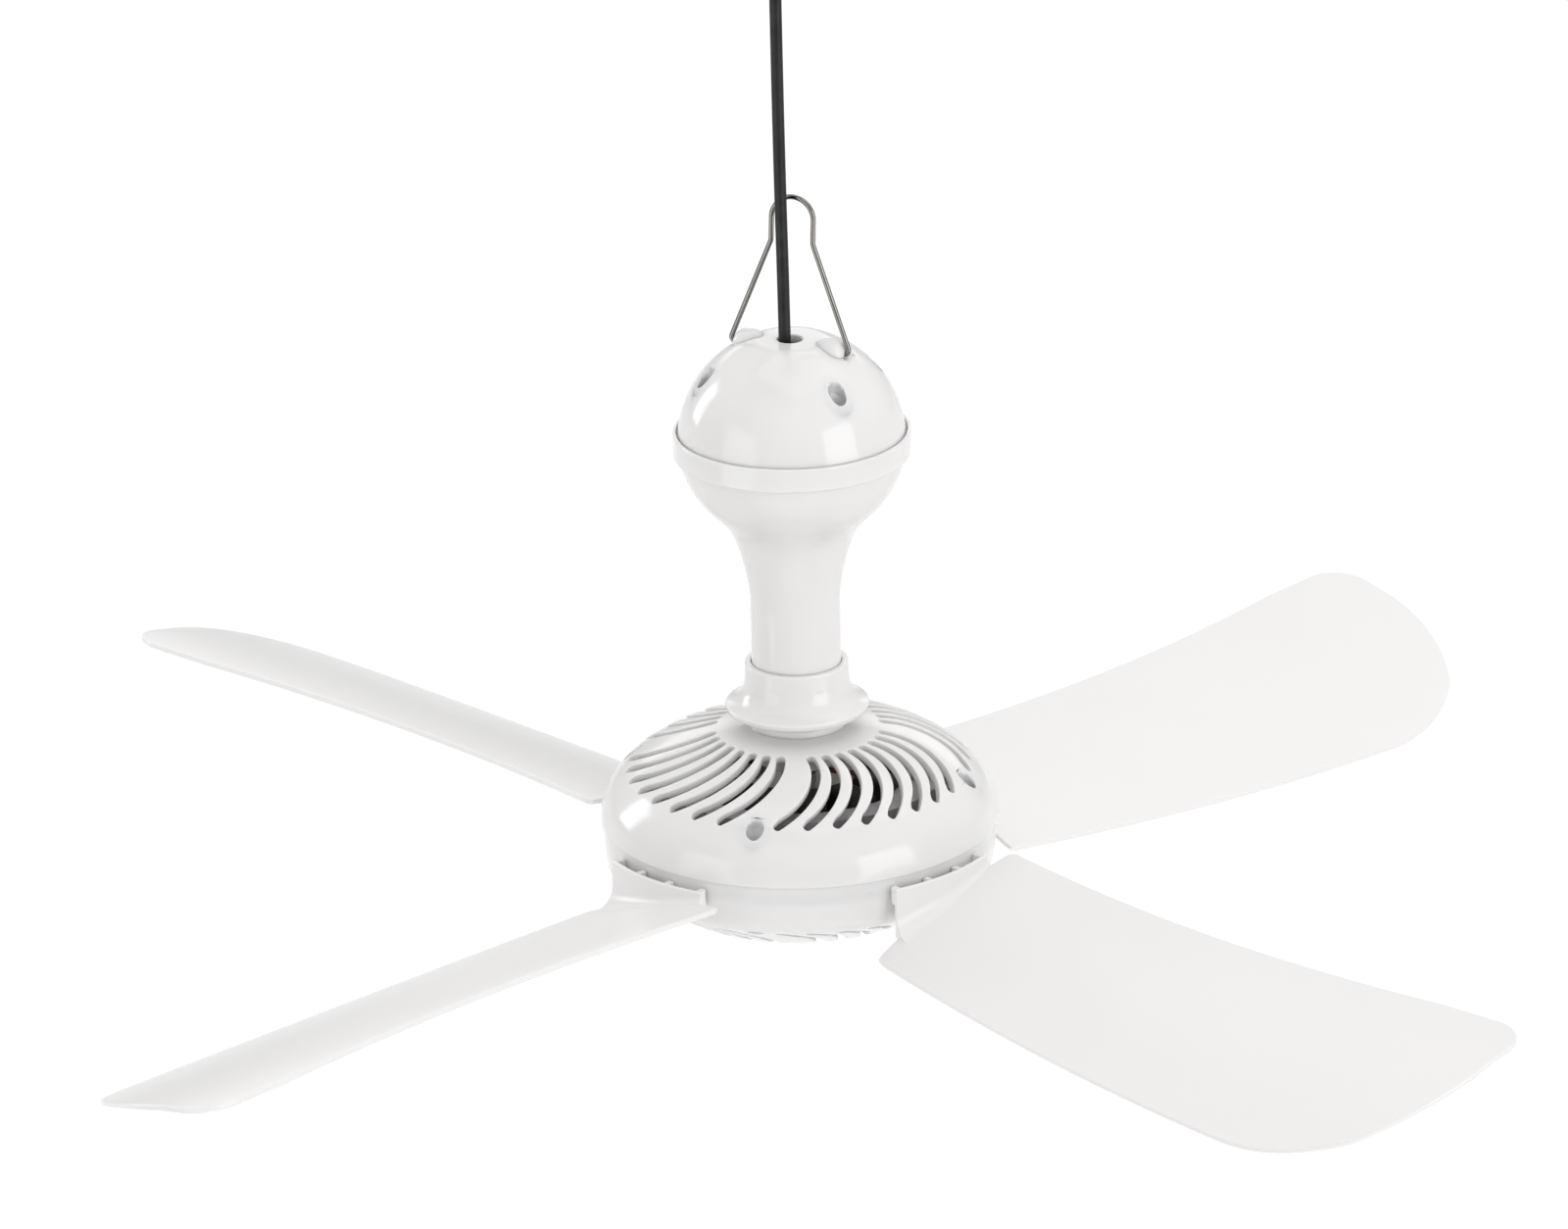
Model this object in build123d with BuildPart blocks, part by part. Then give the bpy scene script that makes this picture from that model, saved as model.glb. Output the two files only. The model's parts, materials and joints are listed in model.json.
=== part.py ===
from build123d import *
from math import atan2, cos, pi, radians, sin, tan
import os

# Hanging camping fan, in millimetres, +Z up. The origin is the top of the bail's loop, on the wire's inner
# side, where a hook carries the fan. Heights named _H are measured from the rotor's widest ring.

# Clearances
RUN_FIT = 0.03  # shaft in its bushes
SLIDE_FIT = 0.05  # pieces that are pushed together
HINGE_FIT = 0.08  # bail in its ears
SLOT_FIT = 0.2  # blade tabs in their slots, spigot in its rim
FREE_GAP = 0.3  # between pieces that turn past each other
COLLAR_FIT = 0.15  # collar round the tube
OVERLAP = 1.0  # how far a cut or a joined solid runs past the face it meets

# Fillets and chamfers
BAND_ROUNDING = 0.4
COLLAR_ROUNDING = 0.45
COLLAR_TOP_ROUNDING = 0.4
RING_ROUNDING = 0.8
CUP_ROUNDING = 1.5
SHAFT_CHAMFER = 0.4
BUSH_CHAMFER = 0.3
CAPACITOR_ROUNDING = 0.8
CAPACITOR_CORNER = 1.0
CLAMP_CORNER = 1.0
TERMINAL_CORNER = 0.6
PLUG_FOOT_CORNER = 4.0
PLUG_FACE_CORNER = 6.0
PIN_ROUNDING = 1.2
SCREW_ROUNDING = 0.5

# Bail
WIRE_R = 0.6
BAIL_LENGTH = 35.3  # pivot to the middle of the wire at the top of the loop
BAIL_LEAN = 5.5
LOOP_R = 5.15
BAIL_KNEE_H = 24.7
BAIL_FOOT_BEND = 1.0
BAIL_KNEE_BEND = 2.5
HINGE_AZIMUTH = -23.5

# Ball and neck
BALL_H = 91.0
DOME_R = 26.2
DOME_SEAT_H = BALL_H + 1.6
DOME_TOP_H = BALL_H + 24.8
SHELL_WALL = 2.0
BAND_R = DOME_R + 1.0
BAND_LOW_H = BALL_H - 2.6
BAND_TOP_H = BALL_H + 3.0
TUBE_R = 10.35
TUBE_FOOT_H = 28.0
TUBE_TOP_H = BALL_H - 39.0
FLARE = [(12.3, BALL_H - 27.0), (15.1, BALL_H - 20.0), (20.7, BALL_H - 14.0), (24.4, BALL_H - 8.0)]
FLARE_END = (DOME_R - 0.2, BAND_LOW_H)
NECK_FLOOR = 3.0
EAR_R = 3.6
EAR_H = BALL_H + 22.3
EAR_INNER_W = 9.3
EAR_OUTER_W = 13.7
EAR_NOSE = 1.5
EAR_NOSE_R = 1.2
EAR_HOLE_W = EAR_INNER_W + 0.6
NOTCH_H = BALL_H + 21.3
NOTCH_FRONT = 2 * WIRE_R
NOTCH_BACK = 3.6
PIVOT_H = EAR_H + 0.4
BAIL_END_W = EAR_INNER_W + 1.2
BAIL_FOOT_W = EAR_OUTER_W + 2 * WIRE_R
NOTCH_OUTER_W = BAIL_FOOT_W + 2 * WIRE_R + 0.1

# Screws of the ball
BALL_SCREW_R = DOME_R - 6.8
BALL_SCREW_TURN = 34.0  # from the hinge line
BALL_POCKET_H = BALL_H + 6.0
BALL_BOSS_H = BALL_H + 2.0

# Pieces in the ball
TRAY_H = BALL_H - 9.0
TRAY_RIB_W = 7.0
TRAY_RIB = 1.6
TERMINAL_TOP_H = TRAY_H + 13.0
TERMINAL_SIZE = (20.0, 10.0)
TERMINAL_BACK = 1.6
TERMINAL_PITCH = 10.0
TERMINAL_TUBE_R = 1.95
TERMINAL_TUBE_H = TRAY_H + 8.0
TERMINAL_TUBE_INSET = 1.0
TERMINAL_SCREW_R = 1.25
TERMINAL_SCREW_Y = 2.6
TERMINAL_SCREW_FOOT = 0.4
TERMINAL_SCREW_SINK = 0.6
CAPACITOR_SIZE = (24.0, 11.0, 19.0)
CLAMP_LOW_H = BALL_H + 14.0
CLAMP_HIGH_H = CLAMP_LOW_H + 5.0
CLAMP_WIDTH = 17.0
CLAMP_BAR = 2.8
CLAMP_SEAT = 5.6
CLAMP_GAP = 0.6
CLAMP_SCREW_W = 5.8

# Screws: thread radius, head radius and head height
SCREW_R = 1.0
SCREW_HEAD_R = 1.8
SCREW_HEAD = 1.6
SCREW_WAY_R = 1.3
SCREW_END_GAP = 0.6
CROSS_WIDTH = 0.4
CROSS_R = 1.1
CROSS_DEPTH = 0.8
POCKET_R = 1.95
BOSS_R = 2.6
POCKET_TUBE_R = 3.3

# Collar over the joint of stem and rotor
COLLAR_TOP_R = 11.9
COLLAR_TOP_H = 37.7
COLLAR_WAIST = (12.1, 34.0)
COLLAR_BELLY = (13.1, 30.3)
COLLAR_FLANGE = (16.6, 27.5)
COLLAR_LIP = (16.3, 26.2)
COLLAR_LIP_WALL = 1.0
COLLAR_LIP_TAPER = 0.4
COLLAR_FLOOR_H = 26.5

# Shaft and what is on it
SHAFT_R = 4.0
SHAFT_FOOT_H = -17.0
SHAFT_HEAD_H = 44.0
SHOULDER_R = SHAFT_R + 1.5
SHOULDER_LOW_H = 22.5
WIREWAY_R = SHAFT_R - 2.0
WIREWAY_FOOT_H = 6.0
WINDOW_LOW_H = 10.3
WINDOW_HIGH_H = 12.5
NUT_FLATS = 13.0
NUT_HEIGHT = 4.0
WASHER_R = SHAFT_R + 3.4
WASHER = 1.0
BUSH_R = SHAFT_R + 3.0
BUSH_LENGTH = 8.0
TOP_BUSH_H = 13.5
LOW_BUSH_LENGTH = 6.5
LOW_BUSH_H = -14.0
THRUST_R = SHAFT_R + 2.0
THRUST = 0.6
CLIP_R = SHAFT_R + 1.5
CLIP = 0.8
CLIP_GROOVE = 0.7
CLIP_OPENING = 3.4

# Rotor shells
COVER_R = 45.9
COVER_RISE = 23.2
COVER_WALL = 2.0
SEAM_H = -1.9
RING_R = 11.4
RING_H = 24.4
RING_HOLE_R = SHOULDER_R + 0.7
HUB_TUBE_R = BUSH_R + 2.5
HUB_STOP = 1.0  # ledge over the lower bush
CUP_RIM_R = COVER_R - 0.2
CUP_SIDE = (CUP_RIM_R - 0.4, -6.5)
CUP_EDGE = (CUP_RIM_R - 1.1, -10.4)
CUP_CHAMFER = (CUP_RIM_R - 2.8, -12.7)
CUP_FOOT = (30.0, -20.4)
CUP_FLOOR_R = CUP_FOOT[0] - 2.0
CUP_FLOOR_H = -21.1
CUP_WALL = 1.8
CUP_BORE_R = SHAFT_R + 1.0
LIP_WALL = 1.2
LIP_HEIGHT = 2.9
LIP_INSET = 1.0
SKIRT_WALL = 1.9
SKIRT_TOP_H = 4.0
SKIRT_LEDGE = 2.0
COVER_SCREW_R = COVER_R - 6.1
COVER_SCREW_AZIMUTH = 255.0
COVER_POCKET_H = 6.0
COVER_BOSS_FLOOR = 1.5
COVER_SCREW_LENGTH = 14.0
CAP_R = BUSH_R + 1.5
CAP = 1.0
CAP_SPIGOT = 2.0
CAP_SPIGOT_WALL = 1.2

# Vents: each is an arc from its outer end to its inner end, bulging to the anticlockwise side
VENT_COUNT = 36
VENTS_PER_SCREW = 9
VENT_AZIMUTH = 262.5
VENT_OUTER_R = 39.0
VENT_INNER_R = 19.9
VENT_SWEEP = 15.5
VENT_BULGE = 4.3
VENT_WIDTH = 2.1
CUP_VENT_OUTER_R = 41.0
CUP_VENT_INNER_R = 24.0

# Motor
CORE_LOW_H = -6.0
CORE_HIGH_H = 8.0
STATOR_R = 27.5
STATOR_HUB_R = HUB_TUBE_R + 3.0
STATOR_TEETH = 12
TOOTH_WIDTH = 4.2
SHOE = 2.3
SHOE_GAP = 2.2
INSULATOR = 1.2
COIL_WALL = 1.35
COIL_RISE = 2.2
COIL_INNER_R = 14.8
COIL_OUTER_R = 24.6
AIR_GAP = 0.5
ROTOR_RING_R = STATOR_R + 7.5
CAGE_BARS = 20
CAGE_BAR_R = 1.0
CAGE_RING = 3.0
CAGE_OUTER_STEP = 0.5
CAGE_INNER_STEP = 0.6
CAGE_BAR_BITE = 1.0
LEAD_R = 0.6
LEAD_W = 0.8
LEAD_TOP_W = 2.8
LEAD_SPREAD_H = TRAY_H - 10.0
LEAD_TOP_BEND = 20.0
LEAD_END_R = 14.6
LEAD_BEND = 1.5
WINDOW_HALF_WIDTH = 1.5 * LEAD_R + SLOT_FIT

# Blades, in a frame with x outwards and y anticlockwise
BLADE_COUNT = 4
BLADE_AZIMUTH = -46.0
BLADE_THICK = 1.3
BLADE_H = -8.36
BLADE_PITCH = 0.3024  # rise per mm across
BLADE_CAMBER = 0.00389
BLADE_SIDE = 40.0
BLADE_ROOT = COVER_R + 1.1
BLADE_REACH = 207.0
TOP_EDGE = [(BLADE_ROOT, 22.0), (115.0, 17.9), (BLADE_REACH - 27.0, 22.8)]
TIP_CORNER = (BLADE_REACH - 0.2, 24.7)
TIP_CORNER_R = 9.0
TIP_LOW = (BLADE_REACH - 3.2, -10.0)
TIP_TURN = [(BLADE_REACH - 11.5, -23.5), (BLADE_REACH - 27.0, -31.5), (BLADE_REACH - 42.0, -33.5)]
LOW_EDGE = [(103.0, -29.5), (BLADE_ROOT + 0.4, -21.7)]
ROOT_CORNER_R = 3.0
WALL_INNER_R = COVER_R + 1.6
WALL_OUTER_R = WALL_INNER_R + 0.9
WALL_HALF_ANGLE = 17.5
WALL_TOP_H = -2.3
RIB_INNER_R = COVER_R + 0.2
RIB_ANGLES = [-16.6, -5.6, 5.6, 16.6]
RIB = 1.4
RIB_FOOT_H = -6.6
TAB_INNER_R = CUP_RIM_R - 3.5
TAB_HALF_ANGLE = 6.0
TAB_LOW_H = -6.5
TAB_HIGH_H = -5.3
TAB_SLOT_LENGTH = 10.0
ROOT_BITE = 0.4  # how far the ribs and the tab reach into the wall

# Cord and plug
CORD_R = 1.4
CORD_HOLE_R = 2 * CORD_R
CORD_EXIT_X = -1.1
CORD_ROUTE = [(CORD_EXIT_X, 0.0, 95.0), (CORD_EXIT_X, 0.0, 120.0), (-1.65, 0.0, 165.0), (-1.65, 0.0, 204.0)]
RELIEF_LENGTH = 20.0
RELIEF_R = 2.6
RELIEF_TOP_R = 4.6
PLUG_LENGTH = 38.0
PLUG_FOOT = (16.0, 11.0)
PLUG_FACE = (35.0, 13.6)
PIN_R = 2.0
PIN_ROOT_R = 1.8
PIN_ROOT_LENGTH = 10.0
PIN_PITCH = 18.6
PIN_LENGTH = 19.0
PIN_SEAT = 12.0

# Places worked out from the sizes
LEAN = radians(BAIL_LEAN)
HINGE = radians(HINGE_AZIMUTH)
ALONG = Vector(cos(HINGE), sin(HINGE), 0)
BACK = Vector(-sin(HINGE), cos(HINGE), 0)
BAIL_UP = Vector(0, 0, cos(LEAN)) + BACK * sin(LEAN)
PIVOT = BAIL_UP * -(BAIL_LENGTH - WIRE_R)
AXIS_X = PIVOT.X
AXIS_Y = PIVOT.Y
RING_Z = PIVOT.Z - PIVOT_H
SPIN = Axis((AXIS_X, AXIS_Y, 0), (0, 0, 1))
PROFILE = Plane(origin=(AXIS_X, AXIS_Y, RING_Z), x_dir=(1, 0, 0), z_dir=(0, -1, 0))
HINGE_FACE = Plane(origin=(AXIS_X, AXIS_Y, RING_Z), x_dir=ALONG, z_dir=BACK * -1)


def at(height, turn=0.0):
    """A level plane at this height, on the fan's axis, turned by an azimuth."""
    direction = (cos(radians(turn)), sin(radians(turn)), 0)
    return Plane(origin=(AXIS_X, AXIS_Y, RING_Z + height), x_dir=direction, z_dir=(0, 0, 1))


def polar(radius, azimuth):
    return (radius * cos(radians(azimuth)), radius * sin(radians(azimuth)))


def finish(builder, name):
    builder.part.label = name
    export_step(builder.part, f"parts/{name}.step")


def tube(plane, outer, inner, length):
    """An annulus drawn on a plane and extruded along it, in the open part."""
    with BuildSketch(plane) as ring:
        Circle(outer)
        if inner:
            Circle(inner, mode=Mode.SUBTRACT)
    extrude(ring.sketch, amount=length)


def rims(builder, radius, slack=0.01):
    """The circular edges of this radius."""
    circles = builder.edges().filter_by(GeomType.CIRCLE)
    return circles.filter_by(lambda edge: abs(edge.radius - radius) < slack)


def screws(name, places, seat, length, plane):
    """Pan-head screws whose heads stand on the seat and whose shanks go down from it."""
    with BuildPart() as group:
        with BuildSketch(plane.offset(seat)):
            with Locations(*places):
                Circle(SCREW_HEAD_R)
        extrude(amount=SCREW_HEAD)
        fillet(group.edges().group_by(Axis(plane.origin, plane.z_dir))[-1], SCREW_ROUNDING)
        with BuildSketch(plane.offset(seat + SCREW_HEAD)):
            with Locations(*places):
                Rectangle(2 * SCREW_HEAD_R, CROSS_WIDTH)
                Rectangle(CROSS_WIDTH, 2 * SCREW_HEAD_R)
                Circle(CROSS_R, mode=Mode.INTERSECT)
        extrude(amount=-CROSS_DEPTH, mode=Mode.SUBTRACT)
        with BuildSketch(plane.offset(seat)):
            with Locations(*places):
                Circle(SCREW_R)
        extrude(amount=-length)
    finish(group, name)


os.makedirs("parts", exist_ok=True)


# Bail: one bent wire, its ends turned inwards into the ears
BAIL_FACE = Plane(origin=PIVOT, x_dir=ALONG, z_dir=ALONG.cross(BAIL_UP))
loop_h = BAIL_LENGTH - LOOP_R
with BuildPart() as bail:
    with BuildLine(BAIL_FACE) as bail_path:
        side = [(BAIL_END_W, 0), (BAIL_FOOT_W, 0), (LOOP_R, BAIL_KNEE_H), (LOOP_R, loop_h)]
        bends = [BAIL_FOOT_BEND, BAIL_KNEE_BEND]
        FilletPolyline(*side, radius=bends)
        CenterArc((0, loop_h), LOOP_R, 0, 180)
        FilletPolyline(*[(-w, h) for w, h in reversed(side)], radius=bends[::-1])
    bail_wire = bail_path.wire()
    with BuildSketch(Plane(origin=bail_wire @ 0, z_dir=bail_wire % 0)):
        Circle(WIRE_R)
    sweep(path=bail_wire)
finish(bail, "bail")


# Dome: a sphere cut flat on top, with the ears, the cord hole and the screw pockets
ball_screw_turns = [side + turn for side in (0, 180) for turn in (-BALL_SCREW_TURN, BALL_SCREW_TURN)]
ball_screw_places = [polar(BALL_SCREW_R, turn) for turn in ball_screw_turns]
dome_centre = (AXIS_X, AXIS_Y, RING_Z + BALL_H)
cord_w = CORD_EXIT_X * cos(HINGE)
cord_b = CORD_EXIT_X * -sin(HINGE)
inner_top = DOME_TOP_H - SHELL_WALL
with BuildPart() as dome_space:
    with BuildSketch(at(DOME_SEAT_H - OVERLAP)):
        Circle(DOME_R)
    extrude(amount=inner_top - DOME_SEAT_H + OVERLAP)
    with Locations(dome_centre):
        Sphere(DOME_R - SHELL_WALL, mode=Mode.INTERSECT)
    with BuildSketch(at(BALL_BOSS_H + SLOT_FIT, HINGE_AZIMUTH)):
        with Locations(*ball_screw_places):
            Circle(POCKET_TUBE_R)
    extrude(amount=DOME_R, mode=Mode.SUBTRACT)
    with BuildSketch(at(CLAMP_LOW_H, HINGE_AZIMUTH)):
        with Locations((0, cord_b + CLAMP_GAP / 2 + CLAMP_SEAT / 2)):
            Rectangle(CLAMP_WIDTH, CLAMP_SEAT)
    extrude(amount=DOME_R, mode=Mode.SUBTRACT)

with BuildPart() as dome_cover:
    with BuildSketch(at(DOME_SEAT_H)):
        Circle(DOME_R)
    extrude(amount=DOME_TOP_H - DOME_SEAT_H)
    with Locations(dome_centre):
        Sphere(DOME_R, mode=Mode.INTERSECT)
    for side in (1, -1):
        ear_plane = Plane(origin=at(EAR_H).origin + ALONG * side * EAR_INNER_W, z_dir=ALONG * side)
        ear_body = EAR_OUTER_W - EAR_INNER_W - EAR_NOSE
        with BuildSketch(ear_plane):
            Circle(EAR_R)
        extrude(amount=ear_body)
        with BuildSketch(ear_plane.offset(ear_body)):
            Circle(EAR_R)
        with BuildSketch(ear_plane.offset(ear_body + EAR_NOSE)):
            Circle(EAR_NOSE_R)
        loft()
        with Locations(ear_plane.origin):
            Sphere(EAR_R)
    add(dome_space.part, mode=Mode.SUBTRACT)
    for side in (1, -1):
        hole_plane = Plane(origin=PIVOT + ALONG * side * EAR_HOLE_W, z_dir=ALONG * side)
        with BuildSketch(hole_plane):
            Circle(WIRE_R + HINGE_FIT)
        extrude(amount=DOME_R, mode=Mode.SUBTRACT)
    with BuildSketch(at(NOTCH_H, HINGE_AZIMUTH)):
        with Locations(*[(side * NOTCH_OUTER_W, (NOTCH_BACK - NOTCH_FRONT) / 2) for side in (1, -1)]):
            Rectangle(2 * (NOTCH_OUTER_W - EAR_OUTER_W), NOTCH_BACK + NOTCH_FRONT)
    extrude(amount=DOME_R, mode=Mode.SUBTRACT)
    with BuildSketch(at(BALL_POCKET_H, HINGE_AZIMUTH)):
        with Locations(*ball_screw_places):
            Circle(POCKET_R)
    extrude(amount=DOME_R, mode=Mode.SUBTRACT)
    with BuildSketch(at(DOME_SEAT_H, HINGE_AZIMUTH)):
        with Locations(*ball_screw_places):
            Circle(SCREW_WAY_R)
    extrude(amount=BALL_POCKET_H - DOME_SEAT_H + OVERLAP, mode=Mode.SUBTRACT)
    with BuildSketch(at(inner_top)):
        Circle(CORD_HOLE_R)
    extrude(amount=DOME_R, mode=Mode.SUBTRACT)
    with BuildSketch(at(CLAMP_LOW_H, HINGE_AZIMUTH)):
        with Locations((cord_w, cord_b)):
            Circle(CORD_R + SLIDE_FIT)
    extrude(amount=inner_top - CLAMP_LOW_H, mode=Mode.SUBTRACT)
    clamp_face = HINGE_FACE.offset(-(cord_b + CLAMP_GAP / 2))
    clamp_h = (CLAMP_LOW_H + CLAMP_HIGH_H) / 2
    clamp_places = [(side * CLAMP_SCREW_W, clamp_h) for side in (-1, 1)]
    with BuildSketch(clamp_face):
        with Locations(*clamp_places):
            Circle(SCREW_R + SLIDE_FIT)
    extrude(amount=-(CLAMP_SEAT - SCREW_END_GAP), mode=Mode.SUBTRACT)
finish(dome_cover, "dome_cover")

with BuildPart() as cord_clamp:
    with BuildSketch(clamp_face.offset(CLAMP_GAP)):
        with Locations((0, clamp_h)):
            RectangleRounded(CLAMP_WIDTH, CLAMP_HIGH_H - CLAMP_LOW_H, CLAMP_CORNER)
        with Locations(*clamp_places):
            Circle(SCREW_WAY_R, mode=Mode.SUBTRACT)
    extrude(amount=CLAMP_BAR)
    with BuildSketch(at(CLAMP_LOW_H, HINGE_AZIMUTH)):
        with Locations((cord_w, cord_b)):
            Circle(CORD_R + SLIDE_FIT)
    extrude(amount=CLAMP_HIGH_H - CLAMP_LOW_H, mode=Mode.SUBTRACT)
finish(cord_clamp, "cord_clamp")
clamp_head = CLAMP_GAP + CLAMP_BAR
screws("clamp_screws", clamp_places, clamp_head, clamp_head + CLAMP_SEAT - 2 * SCREW_END_GAP, clamp_face)


# Neck: the tube, its flare, the band that takes the dome, and the tray and bosses inside
def stem_section(inset, foot, top):
    """Half of the stem's section, this far inside its outer skin, from a foot to the band."""
    flare = [(r - inset, h) for r, h in FLARE]
    end = (FLARE_END[0] - inset, FLARE_END[1])
    with BuildLine() as section:
        Polyline((end[0], end[1]), (end[0], top), (0, top), (0, foot), (TUBE_R - inset, foot))
        Line((TUBE_R - inset, foot), (TUBE_R - inset, TUBE_TOP_H))
        Spline((TUBE_R - inset, TUBE_TOP_H), *flare, end, tangents=[(0, 1), (0.2, 1)])
    make_face(section.edges())


with BuildPart() as neck_space:
    with BuildSketch(PROFILE):
        stem_section(SHELL_WALL, TUBE_FOOT_H + NECK_FLOOR, DOME_SEAT_H)
    revolve(axis=SPIN)
    with BuildSketch(at(TUBE_TOP_H, HINGE_AZIMUTH)):
        with Locations((-TRAY_RIB_W, 0), (TRAY_RIB_W, 0)):
            Rectangle(TRAY_RIB, 2 * DOME_R)
    extrude(amount=TRAY_H - TUBE_TOP_H, mode=Mode.SUBTRACT)
    with BuildSketch(at(TUBE_TOP_H, HINGE_AZIMUTH)):
        with Locations(*ball_screw_places):
            Circle(BOSS_R)
    extrude(amount=DOME_R * 2, mode=Mode.SUBTRACT)

with BuildPart() as neck_shell:
    with BuildSketch(PROFILE):
        stem_section(0, TUBE_FOOT_H, BAND_LOW_H + OVERLAP)
    revolve(axis=SPIN)
    tube(at(BAND_LOW_H), BAND_R, 0, BAND_TOP_H - BAND_LOW_H)
    fillet(rims(neck_shell, BAND_R), BAND_ROUNDING)
    with BuildSketch(at(DOME_SEAT_H)):
        Circle(DOME_R + FREE_GAP)
    extrude(amount=BAND_TOP_H - DOME_SEAT_H, mode=Mode.SUBTRACT)
    add(neck_space.part, mode=Mode.SUBTRACT)
    with BuildSketch(at(DOME_SEAT_H, HINGE_AZIMUTH)):
        with Locations(*ball_screw_places):
            Circle(BOSS_R)
    extrude(amount=BALL_BOSS_H - DOME_SEAT_H)
    with BuildSketch(at(BALL_BOSS_H, HINGE_AZIMUTH)):
        with Locations(*ball_screw_places):
            Circle(SCREW_R + SLIDE_FIT)
    extrude(amount=-(BALL_BOSS_H - TRAY_H), mode=Mode.SUBTRACT)
    with BuildSketch(at(TUBE_FOOT_H)):
        Circle(SHAFT_R + SLIDE_FIT)
    extrude(amount=NECK_FLOOR, mode=Mode.SUBTRACT)
finish(neck_shell, "neck_shell")
ball_shank = BALL_POCKET_H - TRAY_H - SCREW_END_GAP
screws("ball_screws", ball_screw_places, BALL_POCKET_H, ball_shank, at(0, HINGE_AZIMUTH))


# Terminals and run capacitor, side by side on the tray ribs
terminal_y = TERMINAL_BACK - TERMINAL_SIZE[1] / 2
terminal_places = [(side * TERMINAL_PITCH / 2, terminal_y) for side in (-1, 1)]
terminal_shifts = (-TERMINAL_SCREW_Y, TERMINAL_SCREW_Y)
terminal_screw_places = [(x, y + shift) for x, y in terminal_places for shift in terminal_shifts]
bore_face = HINGE_FACE.offset(-(TERMINAL_BACK - TERMINAL_SIZE[1]))
bore_places = [(side * TERMINAL_PITCH / 2, TERMINAL_TUBE_H) for side in (-1, 1)]
with BuildPart() as terminal_block:
    with BuildSketch(at(TRAY_H, HINGE_AZIMUTH)):
        with Locations((0, terminal_y)):
            RectangleRounded(*TERMINAL_SIZE, TERMINAL_CORNER)
    extrude(amount=TERMINAL_TOP_H - TRAY_H)
    with BuildSketch(bore_face):
        with Locations(*bore_places):
            Circle(TERMINAL_TUBE_R + SLIDE_FIT)
    extrude(amount=-TERMINAL_SIZE[1], mode=Mode.SUBTRACT)
    with BuildSketch(at(TERMINAL_TUBE_H, HINGE_AZIMUTH)):
        with Locations(*terminal_screw_places):
            Circle(TERMINAL_SCREW_R + SLIDE_FIT)
    extrude(amount=TERMINAL_TOP_H - TERMINAL_TUBE_H, mode=Mode.SUBTRACT)
finish(terminal_block, "terminal_block")

with BuildPart() as terminal_tubes:
    with BuildSketch(bore_face.offset(-TERMINAL_TUBE_INSET)):
        with Locations(*bore_places):
            Circle(TERMINAL_TUBE_R)
            Circle(TERMINAL_SCREW_R, mode=Mode.SUBTRACT)
    extrude(amount=-(TERMINAL_SIZE[1] - 2 * TERMINAL_TUBE_INSET))
    with BuildSketch(at(TERMINAL_TUBE_H, HINGE_AZIMUTH)):
        with Locations(*terminal_screw_places):
            Circle(TERMINAL_SCREW_R + SLIDE_FIT)
    extrude(amount=TERMINAL_TUBE_R, mode=Mode.SUBTRACT)
finish(terminal_tubes, "terminal_tubes")

with BuildPart() as terminal_screws:
    with BuildSketch(at(TERMINAL_TUBE_H + TERMINAL_SCREW_FOOT, HINGE_AZIMUTH)):
        with Locations(*terminal_screw_places):
            Circle(TERMINAL_SCREW_R)
    extrude(amount=TERMINAL_TOP_H - TERMINAL_SCREW_SINK - TERMINAL_TUBE_H - TERMINAL_SCREW_FOOT)
finish(terminal_screws, "terminal_screws")

with BuildPart() as run_capacitor:
    with BuildSketch(at(TRAY_H, HINGE_AZIMUTH)):
        with Locations((0, TERMINAL_BACK + FREE_GAP + CAPACITOR_SIZE[1] / 2)):
            RectangleRounded(CAPACITOR_SIZE[0], CAPACITOR_SIZE[1], CAPACITOR_CORNER)
    extrude(amount=CAPACITOR_SIZE[2])
    fillet(run_capacitor.faces().sort_by(Axis.Z)[-1].edges(), CAPACITOR_ROUNDING)
finish(run_capacitor, "run_capacitor")


# Collar: its floor is clamped between the shaft's shoulder and the neck
with BuildPart() as collar:
    with BuildSketch(PROFILE):
        with BuildLine():
            Polyline(
                (COLLAR_TOP_R, COLLAR_TOP_H),
                (TUBE_R + COLLAR_FIT, COLLAR_TOP_H),
                (TUBE_R + COLLAR_FIT, TUBE_FOOT_H),
                (SHAFT_R + FREE_GAP, TUBE_FOOT_H),
                (SHAFT_R + FREE_GAP, COLLAR_FLOOR_H),
                (COLLAR_LIP[0] - COLLAR_LIP_WALL - COLLAR_LIP_TAPER, COLLAR_FLOOR_H),
                (COLLAR_LIP[0] - COLLAR_LIP_WALL, COLLAR_LIP[1]),
                COLLAR_LIP,
            )
            Line((COLLAR_TOP_R, COLLAR_TOP_H), COLLAR_WAIST)
            ThreePointArc(COLLAR_WAIST, COLLAR_BELLY, COLLAR_FLANGE)
            Line(COLLAR_FLANGE, COLLAR_LIP)
        make_face()
    revolve(axis=SPIN)
    fillet(rims(collar, COLLAR_FLANGE[0]), COLLAR_ROUNDING)
    fillet(rims(collar, COLLAR_TOP_R), COLLAR_TOP_ROUNDING)
finish(collar, "collar")


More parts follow.
